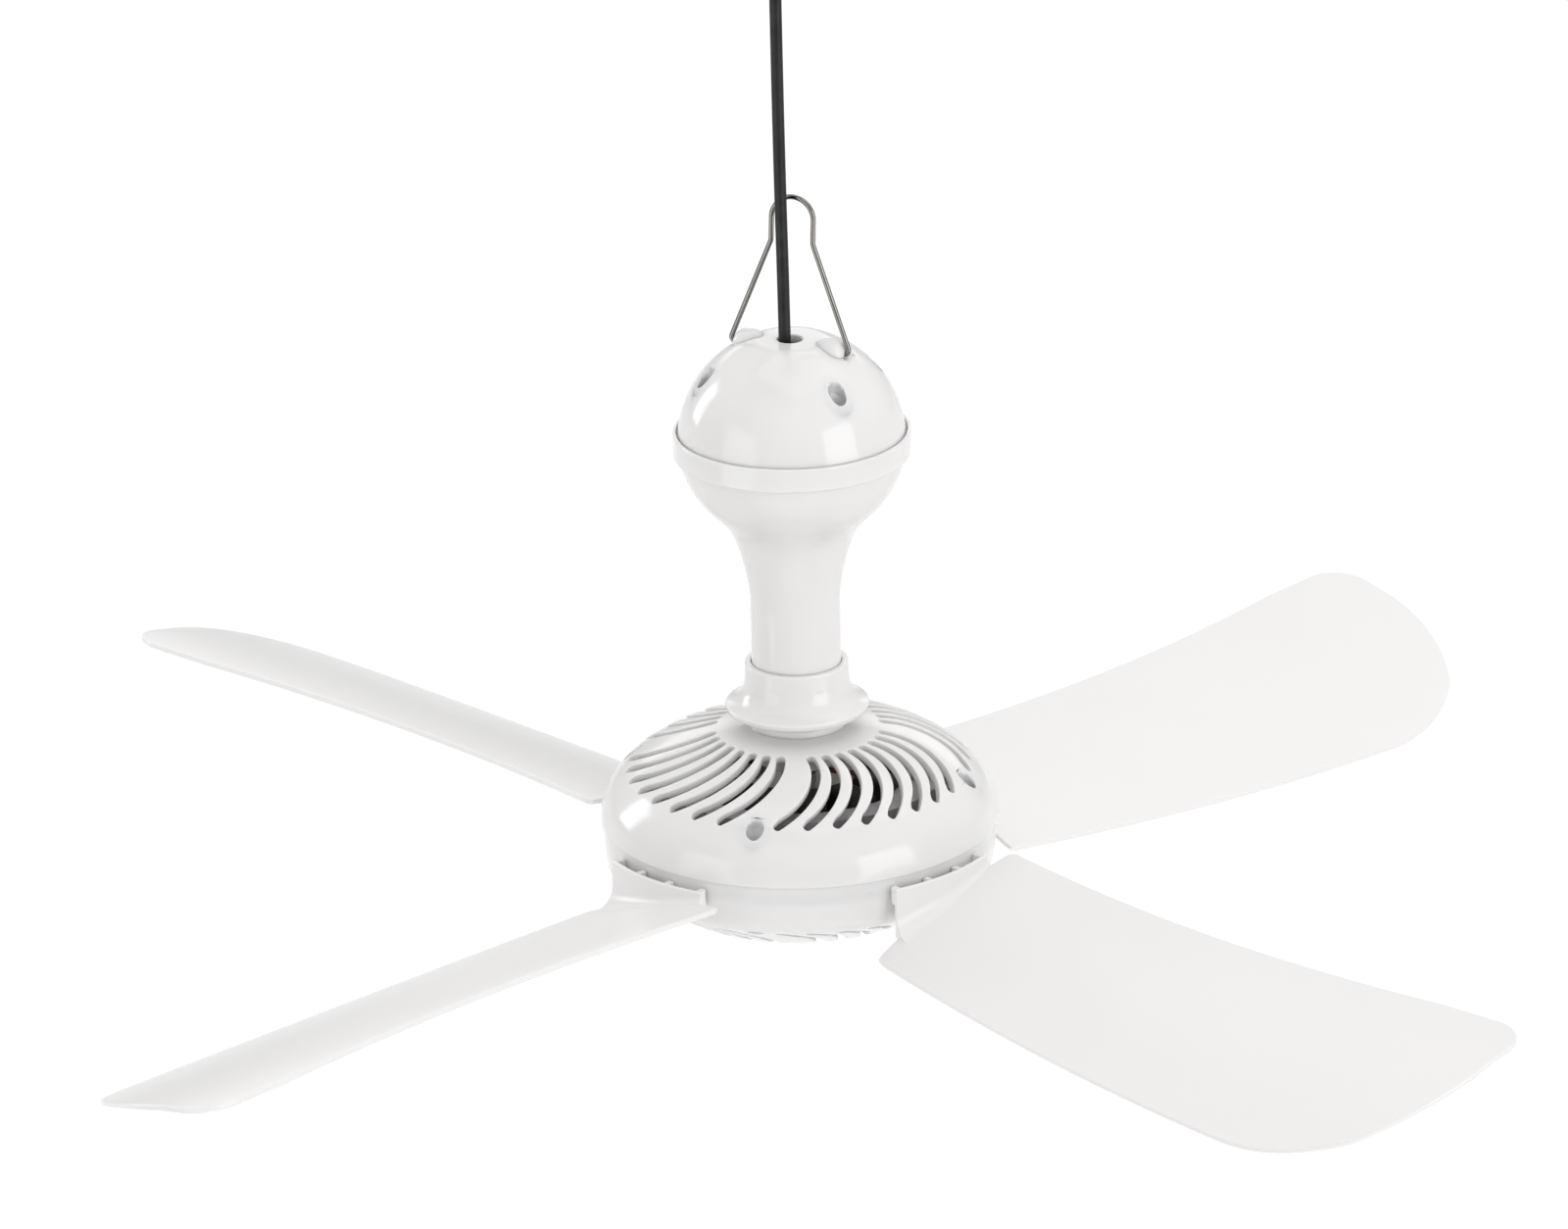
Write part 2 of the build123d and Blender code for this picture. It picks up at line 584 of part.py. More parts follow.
# Shaft: hollow above the stator for the leads, with a shoulder, a window and a clip groove
clip_h = LOW_BUSH_H - THRUST - SLOT_FIT / 2 - CLIP
with BuildPart() as shaft:
    tube(at(SHAFT_FOOT_H), SHAFT_R, 0, SHAFT_HEAD_H - SHAFT_FOOT_H)
    chamfer(shaft.edges().filter_by(GeomType.CIRCLE), SHAFT_CHAMFER)
    tube(at(SHOULDER_LOW_H), SHOULDER_R, 0, COLLAR_FLOOR_H - SHOULDER_LOW_H)
    with BuildSketch(at(WIREWAY_FOOT_H)):
        Circle(WIREWAY_R)
    extrude(amount=SHAFT_HEAD_H - WIREWAY_FOOT_H, mode=Mode.SUBTRACT)
    with BuildSketch(HINGE_FACE):
        with Locations((0, (WINDOW_LOW_H + WINDOW_HIGH_H) / 2)):
            Rectangle(2 * SHOULDER_R, WINDOW_HIGH_H - WINDOW_LOW_H)
    extrude(amount=WINDOW_HALF_WIDTH, both=True, mode=Mode.SUBTRACT)
    with BuildSketch(at(clip_h)):
        Circle(SHOULDER_R)
        Circle(SHAFT_R - CLIP_GROOVE, mode=Mode.SUBTRACT)
    extrude(amount=CLIP, mode=Mode.SUBTRACT)
finish(shaft, "shaft")

floor_top_h = TUBE_FOOT_H + NECK_FLOOR
with BuildPart() as nut_washer:
    tube(at(floor_top_h), WASHER_R, SHAFT_R + SLIDE_FIT, WASHER)
finish(nut_washer, "nut_washer")

with BuildPart() as shaft_nut:
    with BuildSketch(at(floor_top_h + WASHER)):
        RegularPolygon(NUT_FLATS / 2, 6, major_radius=False)
        Circle(SHAFT_R + RUN_FIT, mode=Mode.SUBTRACT)
    extrude(amount=NUT_HEIGHT)
finish(shaft_nut, "shaft_nut")

with BuildPart() as thrust_washer:
    tube(at(LOW_BUSH_H - THRUST), THRUST_R, SHAFT_R + RUN_FIT, THRUST - RUN_FIT)
finish(thrust_washer, "thrust_washer")

with BuildPart() as shaft_clip:
    with BuildSketch(at(clip_h + RUN_FIT)):
        Circle(CLIP_R)
        Circle(SHAFT_R - CLIP_GROOVE + RUN_FIT, mode=Mode.SUBTRACT)
        with Locations((CLIP_R, 0)):
            Rectangle(2 * CLIP_R, CLIP_OPENING, mode=Mode.SUBTRACT)
    extrude(amount=CLIP - 2 * RUN_FIT)
finish(shaft_clip, "shaft_clip")


# Stator: laminated core, its insulators and one coil round each tooth
def tooth_pattern(bore):
    """The stator's hub, teeth and shoes round a bore, with the gaps between the shoes cut out."""
    Circle(STATOR_R)
    Circle(STATOR_R - SHOE, mode=Mode.SUBTRACT)
    Circle(STATOR_HUB_R)
    with PolarLocations((STATOR_HUB_R + STATOR_R) / 2 - SHOE / 2, STATOR_TEETH):
        Rectangle(STATOR_R - STATOR_HUB_R, TOOTH_WIDTH)
    with PolarLocations(STATOR_R, STATOR_TEETH, start_angle=180 / STATOR_TEETH):
        Rectangle(3 * SHOE, SHOE_GAP, mode=Mode.SUBTRACT)
    Circle(bore, mode=Mode.SUBTRACT)


with BuildPart() as stator_core:
    with BuildSketch(at(CORE_LOW_H, HINGE_AZIMUTH)):
        tooth_pattern(SHAFT_R + RUN_FIT)
    extrude(amount=CORE_HIGH_H - CORE_LOW_H)
finish(stator_core, "stator_core")

with BuildPart() as stator_insulators:
    for foot in (CORE_LOW_H - INSULATOR, CORE_HIGH_H):
        with BuildSketch(at(foot, HINGE_AZIMUTH)):
            tooth_pattern(HUB_TUBE_R + 2 * FREE_GAP)
        extrude(amount=INSULATOR)
finish(stator_insulators, "stator_insulators")

coil_height = CORE_HIGH_H - CORE_LOW_H + 2 * (INSULATOR + SLIDE_FIT)
coil_h = (CORE_HIGH_H + CORE_LOW_H) / 2
with BuildPart() as windings:
    for tooth in range(STATOR_TEETH):
        turn = HINGE_AZIMUTH + tooth * 360 / STATOR_TEETH
        outward = at(coil_h, turn)
        coil_plane = Plane(
            origin=outward.origin + outward.x_dir * COIL_INNER_R, x_dir=outward.y_dir, z_dir=outward.x_dir
        )
        coil_gap = TOOTH_WIDTH + 2 * SLIDE_FIT
        with BuildSketch(coil_plane):
            RectangleRounded(coil_gap + 2 * COIL_WALL, coil_height + 2 * COIL_RISE, COIL_WALL)
            Rectangle(coil_gap, coil_height, mode=Mode.SUBTRACT)
        extrude(amount=COIL_OUTER_R - COIL_INNER_R)
finish(windings, "windings")

with BuildPart() as motor_leads:
    for side in (1, -1):
        with BuildLine(HINGE_FACE) as lead_path:
            FilletPolyline(
                (side * LEAD_TOP_W, TRAY_H),
                (side * LEAD_TOP_W, LEAD_SPREAD_H),
                (side * LEAD_W, TUBE_TOP_H),
                (side * LEAD_W, (WINDOW_LOW_H + WINDOW_HIGH_H) / 2),
                (side * LEAD_END_R, (WINDOW_LOW_H + WINDOW_HIGH_H) / 2),
                radius=[LEAD_TOP_BEND, LEAD_TOP_BEND, LEAD_BEND],
            )
        lead_wire = lead_path.wire()
        with BuildSketch(Plane(origin=lead_wire @ 0, z_dir=lead_wire % 0)):
            Circle(LEAD_R)
        sweep(path=lead_wire)
finish(motor_leads, "motor_leads")


# Rotor iron and its cast cage
bar_r = (STATOR_R + AIR_GAP + ROTOR_RING_R) / 2
with BuildPart() as rotor_ring:
    with BuildSketch(at(CORE_LOW_H)):
        Circle(ROTOR_RING_R)
        Circle(STATOR_R + AIR_GAP, mode=Mode.SUBTRACT)
        with PolarLocations(bar_r, CAGE_BARS):
            Circle(CAGE_BAR_R + SLIDE_FIT, mode=Mode.SUBTRACT)
    extrude(amount=CORE_HIGH_H - CORE_LOW_H)
finish(rotor_ring, "rotor_ring")

with BuildPart() as rotor_cage:
    for foot in (CORE_LOW_H - CAGE_RING, CORE_HIGH_H):
        tube(at(foot), ROTOR_RING_R - CAGE_OUTER_STEP, STATOR_R + AIR_GAP + CAGE_INNER_STEP, CAGE_RING)
    with BuildSketch(at(CORE_LOW_H - CAGE_BAR_BITE)):
        with PolarLocations(bar_r, CAGE_BARS):
            Circle(CAGE_BAR_R)
    extrude(amount=CORE_HIGH_H - CORE_LOW_H + 2 * CAGE_BAR_BITE)
finish(rotor_cage, "rotor_cage")


# Bushes that carry the rotor on the shaft
for name, foot, length in (
    ("top_bush", TOP_BUSH_H, BUSH_LENGTH),
    ("bottom_bush", LOW_BUSH_H, LOW_BUSH_LENGTH),
):
    with BuildPart() as bush:
        tube(at(foot), BUSH_R, SHAFT_R + RUN_FIT, length)
        chamfer(bush.edges().filter_by(GeomType.CIRCLE), BUSH_CHAMFER)
    finish(bush, name)


# Vents: the same curved slots in both shells, leaving out those beside the screws
def vents(outer_r, inner_r):
    for place in range(VENT_COUNT):
        if place % VENTS_PER_SCREW == VENTS_PER_SCREW - 1:
            continue
        azimuth = VENT_AZIMUTH + place * 360 / VENT_COUNT
        start = Vector(*polar(outer_r, azimuth))
        end = Vector(*polar(inner_r, azimuth + VENT_SWEEP))
        run = (end - start).normalized()
        middle = (start + end) * 0.5 + Vector(run.Y, -run.X) * VENT_BULGE
        with BuildLine():
            slot = ThreePointArc(start, middle, end)
        SlotArc(slot, VENT_WIDTH)


cover_screw_turns = [COVER_SCREW_AZIMUTH + 90 * side for side in range(4)]
cover_screw_places = [polar(COVER_SCREW_R, turn) for turn in cover_screw_turns]
cover_boss_h = COVER_POCKET_H - COVER_BOSS_FLOOR


# Top cover: half an ellipse turned round the axis, over a short straight skirt
def cover_section(inset):
    with BuildLine() as section:
        Polyline((0, COVER_RISE - inset), (0, SEAM_H), (COVER_R - inset, SEAM_H), (COVER_R - inset, 0))
        EllipticalCenterArc((0, 0), COVER_R - inset, COVER_RISE - inset, 0, arc_size=90)
    make_face(section.edges())


with BuildPart() as cover_space:
    with BuildSketch(PROFILE):
        cover_section(COVER_WALL)
    revolve(axis=SPIN)
    with BuildSketch(at(cover_boss_h)):
        with Locations(*cover_screw_places):
            Circle(POCKET_TUBE_R)
    extrude(amount=COVER_RISE, mode=Mode.SUBTRACT)
    with BuildSketch(at(TOP_BUSH_H)):
        Circle(HUB_TUBE_R)
    extrude(amount=COVER_RISE, mode=Mode.SUBTRACT)

with BuildPart() as top_cover:
    with BuildSketch(PROFILE):
        cover_section(0)
    revolve(axis=SPIN)
    tube(at(TOP_BUSH_H), RING_R, 0, RING_H - TOP_BUSH_H)
    fillet(top_cover.edges().filter_by(GeomType.CIRCLE).sort_by(Axis.Z)[-1], RING_ROUNDING)
    with BuildSketch(at(COVER_POCKET_H)):
        vents(VENT_OUTER_R, VENT_INNER_R)
    extrude(amount=COVER_RISE, mode=Mode.SUBTRACT)
    add(cover_space.part, mode=Mode.SUBTRACT)
    with BuildSketch(at(COVER_POCKET_H)):
        with Locations(*cover_screw_places):
            Circle(POCKET_R)
    extrude(amount=COVER_RISE, mode=Mode.SUBTRACT)
    with BuildSketch(at(cover_boss_h)):
        with Locations(*cover_screw_places):
            Circle(SCREW_WAY_R)
    extrude(amount=COVER_BOSS_FLOOR, mode=Mode.SUBTRACT)
    with BuildSketch(at(TOP_BUSH_H)):
        Circle(BUSH_R + SLIDE_FIT)
    extrude(amount=BUSH_LENGTH, mode=Mode.SUBTRACT)
    with BuildSketch(at(TOP_BUSH_H)):
        Circle(RING_HOLE_R)
    extrude(amount=COVER_RISE, mode=Mode.SUBTRACT)
finish(top_cover, "top_cover")


# Bottom cup: its skin, the spigot inside the seam, the ring that holds the rotor iron, and the hub tube
def cup_section(inset):
    """Half of the cup's section, this far inside its outer skin."""
    slope = atan2(CUP_CHAMFER[1] - CUP_FOOT[1], CUP_CHAMFER[0] - CUP_FOOT[0])
    corner = (CUP_EDGE[0] - inset, CUP_EDGE[1])
    chamfer_point = [] if inset else [CUP_CHAMFER]
    with BuildLine() as section:
        ThreePointArc((CUP_RIM_R - inset, SEAM_H), (CUP_SIDE[0] - inset, CUP_SIDE[1]), corner)
        Polyline(
            corner,
            *chamfer_point,
            (CUP_FOOT[0], CUP_FOOT[1] + inset / cos(slope)),
            (CUP_FLOOR_R, CUP_FLOOR_H + inset),
            (0, CUP_FLOOR_H + inset),
            (0, SEAM_H),
            (CUP_RIM_R - inset, SEAM_H),
        )
    make_face(section.edges())


lip_r = COVER_R - COVER_WALL - SLOT_FIT
skirt_r = ROTOR_RING_R + SLIDE_FIT
low_bush_top = LOW_BUSH_H + LOW_BUSH_LENGTH
with BuildPart() as cup_skin:
    with BuildSketch(PROFILE):
        cup_section(0)
    revolve(axis=SPIN)
    fillet(rims(cup_skin, CUP_CHAMFER[0]), CUP_ROUNDING)

with BuildPart() as cup_space:
    with BuildSketch(PROFILE):
        cup_section(CUP_WALL)
    revolve(axis=SPIN)

with BuildPart() as cup_holders:
    tube(at(CUP_FLOOR_H), skirt_r + SKIRT_WALL, skirt_r, SKIRT_TOP_H - CUP_FLOOR_H)
    seat_h = CORE_LOW_H - CAGE_RING
    tube(at(CUP_FLOOR_H), skirt_r + SKIRT_WALL, skirt_r - SKIRT_LEDGE, seat_h - CUP_FLOOR_H)
    with BuildSketch(at(CUP_FLOOR_H)):
        with Locations(*cover_screw_places):
            Circle(BOSS_R)
    extrude(amount=cover_boss_h - CUP_FLOOR_H)
    tube(at(CUP_FLOOR_H), HUB_TUBE_R, 0, low_bush_top + HUB_STOP - CUP_FLOOR_H)
    lip_low = SEAM_H - LIP_HEIGHT
    tube(at(lip_low), lip_r, lip_r - LIP_WALL, 2 * LIP_HEIGHT)
    tube(at(lip_low), CUP_RIM_R - LIP_INSET, lip_r - LIP_WALL, LIP_HEIGHT)
    with BuildSketch(PROFILE) as inside:
        cup_section(CUP_WALL / 2)
        with Locations((lip_r / 2, SEAM_H)):
            Rectangle(lip_r, 4 * LIP_HEIGHT)
    revolve(inside.sketch, axis=SPIN, mode=Mode.INTERSECT)

with BuildPart() as bottom_cup:
    add(cup_skin.part)
    add(cup_space.part, mode=Mode.SUBTRACT)
    with BuildSketch(at(CUP_FLOOR_H - OVERLAP)):
        vents(CUP_VENT_OUTER_R, CUP_VENT_INNER_R)
    extrude(amount=CUP_EDGE[1] - CUP_FLOOR_H + OVERLAP, mode=Mode.SUBTRACT)
    add(cup_holders.part)
    for blade in range(BLADE_COUNT):
        turn = BLADE_AZIMUTH + blade * 360 / BLADE_COUNT
        with BuildSketch(at(TAB_LOW_H - SLOT_FIT, turn)):
            with Locations((CUP_RIM_R, 0)):
                Rectangle(TAB_SLOT_LENGTH, 2 * (CUP_RIM_R * sin(radians(TAB_HALF_ANGLE)) + SLOT_FIT))
        extrude(amount=TAB_HIGH_H - TAB_LOW_H + 2 * SLOT_FIT, mode=Mode.SUBTRACT)
    with BuildSketch(at(cover_boss_h)):
        with Locations(*cover_screw_places):
            Circle(SCREW_R + SLIDE_FIT)
    extrude(amount=-COVER_SCREW_LENGTH, mode=Mode.SUBTRACT)
    with BuildSketch(at(CUP_FLOOR_H)):
        Circle(BUSH_R + SLIDE_FIT)
    extrude(amount=low_bush_top - CUP_FLOOR_H, mode=Mode.SUBTRACT)
    with BuildSketch(at(CUP_FLOOR_H)):
        Circle(CUP_BORE_R)
    extrude(amount=DOME_R, mode=Mode.SUBTRACT)
    with BuildSketch(at(CUP_FLOOR_H)):
        Circle(CAP_R + SLOT_FIT / 2)
    extrude(amount=CAP, mode=Mode.SUBTRACT)
finish(bottom_cup, "bottom_cup")
screws("cover_screws", cover_screw_places, COVER_POCKET_H, COVER_SCREW_LENGTH, at(0))

with BuildPart() as bottom_cap:
    tube(at(CUP_FLOOR_H), CAP_R, 0, CAP)
    tube(at(CUP_FLOOR_H + CAP), BUSH_R, BUSH_R - CAP_SPIGOT_WALL, CAP_SPIGOT)
finish(bottom_cap, "bottom_cap")


# Blades: a cambered plate cut to its outline, with a curved root wall, pocket ribs and a tab
def blade_height(y):
    return BLADE_H + BLADE_PITCH * y - BLADE_CAMBER * y * y


def ring_sector(outer, inner, half_angle):
    """A piece of a flat ring, symmetrical about the x axis."""
    with BuildLine() as sector:
        for radius in (outer, inner):
            ThreePointArc(polar(radius, -half_angle), (radius, 0), polar(radius, half_angle))
        for turn in (-half_angle, half_angle):
            Line(polar(inner, turn), polar(outer, turn))
    make_face(sector.edges())


def top_curve(drop):
    """The plate's cross-section curve, this far under its upper face."""
    sides = (-BLADE_SIDE, 0, BLADE_SIDE)
    return ThreePointArc(*[(y, blade_height(y) - drop) for y in sides])


across = Plane(origin=at(0).origin, x_dir=(0, 1, 0), z_dir=(1, 0, 0))
plate_drop = BLADE_THICK / cos(atan2(BLADE_PITCH, 1))
with BuildPart() as blade_plate:
    with BuildSketch(across):
        with BuildLine():
            upper = top_curve(0)
            lower = top_curve(plate_drop)
            Line(upper @ 0, lower @ 0)
            Line(upper @ 1, lower @ 1)
        make_face()
    extrude(amount=BLADE_REACH + BLADE_SIDE)
    with BuildSketch(at(-BLADE_SIDE)):
        with BuildLine():
            ThreePointArc(*TOP_EDGE)
            Polyline(TOP_EDGE[-1], TIP_CORNER, (BLADE_REACH, TIP_CORNER_R / 2))
            ThreePointArc((BLADE_REACH, TIP_CORNER_R / 2), TIP_LOW, TIP_TURN[0])
            ThreePointArc(*TIP_TURN)
            ThreePointArc(TIP_TURN[-1], *LOW_EDGE)
            Line(LOW_EDGE[-1], TOP_EDGE[0])
        face = make_face()
        corner = face.vertices().sort_by_distance(TIP_CORNER)[0]
        roots = [face.vertices().sort_by_distance(p)[0] for p in (TOP_EDGE[0], LOW_EDGE[-1])]
        fillet(corner, TIP_CORNER_R)
        fillet(roots, ROOT_CORNER_R)
        ring_sector(WALL_OUTER_R, WALL_INNER_R, WALL_HALF_ANGLE)
    extrude(amount=2 * BLADE_SIDE, mode=Mode.INTERSECT)

with BuildPart() as blade_root:
    with BuildSketch(across):
        with BuildLine():
            lower = top_curve(plate_drop)
            high = (lower @ 1).Y + BLADE_SIDE
            Polyline(lower @ 0, ((lower @ 0).X, high), ((lower @ 1).X, high), lower @ 1)
        make_face()
    extrude(amount=BLADE_REACH + BLADE_SIDE)
    with BuildSketch(at(-BLADE_SIDE)):
        ring_sector(WALL_OUTER_R, WALL_INNER_R, WALL_HALF_ANGLE)
    extrude(amount=WALL_TOP_H + BLADE_SIDE, mode=Mode.INTERSECT)

with BuildPart() as blade_blank:
    add(blade_plate.part)
    add(blade_root.part)
    for angle in RIB_ANGLES:
        with BuildSketch(at(RIB_FOOT_H, angle)):
            with Locations(((RIB_INNER_R + WALL_INNER_R + ROOT_BITE) / 2, 0)):
                Rectangle(WALL_INNER_R - RIB_INNER_R + ROOT_BITE, RIB)
        extrude(amount=WALL_TOP_H - RIB_FOOT_H)
    with BuildSketch(at(TAB_LOW_H)):
        ring_sector(WALL_INNER_R + ROOT_BITE, TAB_INNER_R, TAB_HALF_ANGLE)
    extrude(amount=TAB_HIGH_H - TAB_LOW_H)

for number in range(BLADE_COUNT):
    turn = BLADE_AZIMUTH + number * 360 / BLADE_COUNT
    with BuildPart() as blade:
        add(blade_blank.part.rotate(SPIN, turn))
    finish(blade, f"blade_{number + 1}")


# Cord: a straight hanging tube with very slight bends, from the terminals to the plug
def route_radii(points):
    """At each inner point, 0.45 of its shorter run over the tangent of half its turn."""
    radii = []
    for before, here, after in zip(points, points[1:], points[2:]):
        first = Vector(*here) - Vector(*before)
        second = Vector(*after) - Vector(*here)
        half_turn = radians(first.get_angle(second)) / 2
        radii.append(0.45 * min(first.length, second.length) / tan(half_turn))
    return radii


cord_points = [(AXIS_X + x, AXIS_Y + y, RING_Z + h) for x, y, h in CORD_ROUTE]
cord_radii = route_radii(cord_points)
with BuildPart() as cord_lower:
    with BuildLine() as cord_path:
        FilletPolyline(*cord_points, radius=cord_radii)
    cord_wire = cord_path.wire()
    with BuildSketch(Plane(origin=cord_wire @ 0, z_dir=cord_wire % 0)):
        Circle(CORD_R)
    sweep(path=cord_wire)
finish(cord_lower, "cord_lower")
print("cord radii", [round(radius) for radius in cord_radii])
cord_section = pi * CORD_R**2
print("cord volume over section times length", cord_lower.part.volume / (cord_section * cord_wire.length))
print("cord length", round(cord_wire.length, 2))


# Plug: a tapered relief, a flat body that widens to its face, and two round pins
def at_plug(height):
    x, y, z = cord_points[-1]
    return Plane(origin=(x, y, z + height))


with BuildPart() as plug_relief:
    with BuildSketch(at_plug(0)):
        Circle(RELIEF_R)
    with BuildSketch(at_plug(RELIEF_LENGTH)):
        Circle(RELIEF_TOP_R)
    loft()
finish(plug_relief, "plug_relief")

with BuildPart() as plug_body:
    with BuildSketch(at_plug(RELIEF_LENGTH)):
        RectangleRounded(*PLUG_FOOT, PLUG_FOOT_CORNER)
    with BuildSketch(at_plug(RELIEF_LENGTH + PLUG_LENGTH)):
        RectangleRounded(*PLUG_FACE, PLUG_FACE_CORNER)
    loft()
    with BuildSketch(at_plug(RELIEF_LENGTH + PLUG_LENGTH)):
        with GridLocations(PIN_PITCH, 0, 2, 1):
            Circle(PIN_ROOT_R + RUN_FIT)
    extrude(amount=-PIN_SEAT, mode=Mode.SUBTRACT)
finish(plug_body, "plug_body")

with BuildPart() as plug_pins:
    with BuildSketch(at_plug(RELIEF_LENGTH + PLUG_LENGTH - PIN_SEAT)):
        with GridLocations(PIN_PITCH, 0, 2, 1):
            Circle(PIN_ROOT_R)
    extrude(amount=PIN_SEAT + PIN_ROOT_LENGTH)
    with BuildSketch(at_plug(RELIEF_LENGTH + PLUG_LENGTH + PIN_ROOT_LENGTH)):
        with GridLocations(PIN_PITCH, 0, 2, 1):
            Circle(PIN_R)
    extrude(amount=PIN_LENGTH - PIN_ROOT_LENGTH)
    fillet(plug_pins.faces().group_by(Axis.Z)[-1].edges(), PIN_ROUNDING)
finish(plug_pins, "plug_pins")

print("pivot", PIVOT, "ring height", RING_Z)
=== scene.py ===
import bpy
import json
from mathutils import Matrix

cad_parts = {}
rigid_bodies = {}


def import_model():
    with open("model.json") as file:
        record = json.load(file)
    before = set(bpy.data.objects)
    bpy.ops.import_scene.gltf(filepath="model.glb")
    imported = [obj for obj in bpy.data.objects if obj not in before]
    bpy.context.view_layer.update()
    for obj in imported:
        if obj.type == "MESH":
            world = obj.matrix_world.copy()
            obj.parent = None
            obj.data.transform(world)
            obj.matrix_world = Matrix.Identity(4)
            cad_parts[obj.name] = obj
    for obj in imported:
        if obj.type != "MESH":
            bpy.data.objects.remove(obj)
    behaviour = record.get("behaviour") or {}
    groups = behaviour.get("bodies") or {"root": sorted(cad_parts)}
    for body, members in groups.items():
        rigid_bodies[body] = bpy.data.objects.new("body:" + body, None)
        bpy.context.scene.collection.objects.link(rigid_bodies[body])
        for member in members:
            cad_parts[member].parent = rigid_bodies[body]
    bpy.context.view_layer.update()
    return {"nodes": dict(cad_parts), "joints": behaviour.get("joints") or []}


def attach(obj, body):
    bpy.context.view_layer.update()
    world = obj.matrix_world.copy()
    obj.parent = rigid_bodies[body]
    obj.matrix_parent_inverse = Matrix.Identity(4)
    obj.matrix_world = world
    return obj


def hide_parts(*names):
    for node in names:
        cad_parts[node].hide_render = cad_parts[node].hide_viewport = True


bl_info = {
    "name": "Hanging Camping Fan",
    "version": (1, 0, 0),
    "blender": (4, 5, 0),
    "location": "3D View > Sidebar > Camping Fan",
    "description": "Models the looks of a small hanging camping fan round its packed frame",
    "category": "Add Mesh",
}

import cmath
import json
import math

import bpy
from mathutils import Matrix, Vector

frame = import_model()

MM = 0.001
SPIN_JOINT = next(joint for joint in frame["joints"] if joint["name"] == "rotor_spin")
AXIS = Vector(SPIN_JOINT["pos_m"])  # on the spin axis, at the rotor's widest ring


def polar(radius, azimuth):
    """A point in plan, as a complex number."""
    return cmath.rect(radius, math.radians(azimuth))


# Sizes are in millimetres and angles in degrees, unless a comment says otherwise. Heights are
# above the rotor's widest ring. An outline is a list of (radius, height).

# The blades' azimuths, and the height, pitch and camber across each blade's width
BLADE_AZIMUTHS = [-46.0 + 90 * number for number in range(4)]
BLADE_H = -8.36
BLADE_PITCH = 0.3024
BLADE_CAMBER = 0.00389

# One blade in plan, with x outwards and y anticlockwise: its corners, and two arcs for each edge
ROOT_LOW, ROOT_HIGH = (48.8, -22.6), (48.7, 21.9)
TIP_LOW, TIP_HIGH = (195.5, -23.5), (203.8, 21.6)
BELLY = (165, -33.5)
LOW_EDGE = ((ROOT_LOW, (103, -29.5), BELLY), (BELLY, (180, -31.5), TIP_LOW))
HIGH_EDGE = ((ROOT_HIGH, (115, 17.9), (180, 22.8)), ((197.2, 24.0), (200.9, 23.3), TIP_HIGH))
ROOT_EDGE = ((ROOT_LOW, (47.4, -22.1), (46.8, -20.7)), ((47.0, 20.4), (47.5, 21.5), ROOT_HIGH))
TIP_EDGE = ((TIP_LOW, (203.7, -10), (206.9, 4.5)), ((206.8, 15.1), (206.0, 18.8), TIP_HIGH))
PLATE_ALONG, PLATE_ACROSS = 72, 24  # faces

# The wall over a blade's root, its ribs and its tab
WALL_R = 47.5
WALL = 0.9
WALL_OUTER_R = WALL_R + WALL
WALL_HALF_ANGLE = 17.5
WALL_TOP_H = -2.3
WALL_SOFT = 0.25  # chamfer of its top
WALL_SUNK = 0.8  # into the plate
FILLET_SHARE = 0.42  # of the wall's height
FILLET_SUNK = 0.02
RIB_ANGLES = (-16.6, -5.6, 5.6, 16.6)
RIB = 1.4
RIB_INNER_R = 45.6
RIB_FOOT_H = -6.6
RIB_TOP_H = WALL_TOP_H - 0.05
RIB_SOFT = 0.2
TAB = ((42.2, -4.9, -6.5), (47.7, 4.9, -5.3))
TAB_SOFT = 0.3

# The vents of both rotor shells
VENT_COUNT = 36
VENTS_PER_SCREW = 9  # one in nine is left out for a screw
VENT_AZIMUTH = 262.5
VENT_SWEEP = 15.5
VENT_BULGE = 4.3
VENT_WIDTH = 2.1
VENT_STEPS = 16
VENT_REACH = 12  # to either side of its middle, where a vent's border is looked for
CAP_ANGLES = (20, 45, 68)  # off a vent's tip, where rows cross its round end

# Screws, with their pockets in the ball and the top cover
COVER_SCREWS = [polar(39.8, 255 + 90 * side) for side in range(4)]
SCREW_WAY_R = 1.3
POCKET_R = 1.95
POCKET_PLAY = 0.08  # between a pocket and its boss, whose walls would else coincide
POCKET_REACH = 20  # how far a cutter rises over the pocket's floor
BOSS_R = 3.3
BOSS_DROP = 1.1  # from the skin to the boss's top

# The rotor's two shells
PARTING_H = -0.6
COVER_R = 45.9
COVER_RISE = 23.2
COVER_VENT_RADII = (39.0, 19.9)
COVER_INNER_RADII = (17.0, 15.0, 13.0, 11.5, 10.0)
COVER_POCKET_H = 6.0
COVER_BOSS_FOOT_H = 4.5
COVER_RING = [
    (6.2, 24.1), (6.5, 24.4), (10.6, 24.4), (11.0, 24.29), (11.29, 24.0), (11.4, 23.6),
    (11.4, 22.1), (9.55, 21.2), (9.55, 13.5), (7.05, 13.5), (7.05, 21.5), (6.2, 21.5),
]
CUP_SIDE = [
    (45.3, PARTING_H), (45.3, -1.9), (45.2, -4.2), (45.1, -6.5), (44.9, -8.5), (44.6, -10.4),
    (44.0, -11.3), (43.5, -12.0), (43.0, -12.5),
]
CUP_SLOPE = ((42.9, -12.7), (30.0, -20.4), (28.0, -21.1))  # its corners, down to the floor
CUP_SLOPE_R = 42.4  # the first row on the slope
CUP_VENT_RADII = (41.0, 24.0)
CUP_INNER_RADII = (22.0, 18.0, 14.0, 8.6)
TAB_SLOT = ((40.7, -4.98, -6.7), (50.7, 4.98, -5.1))
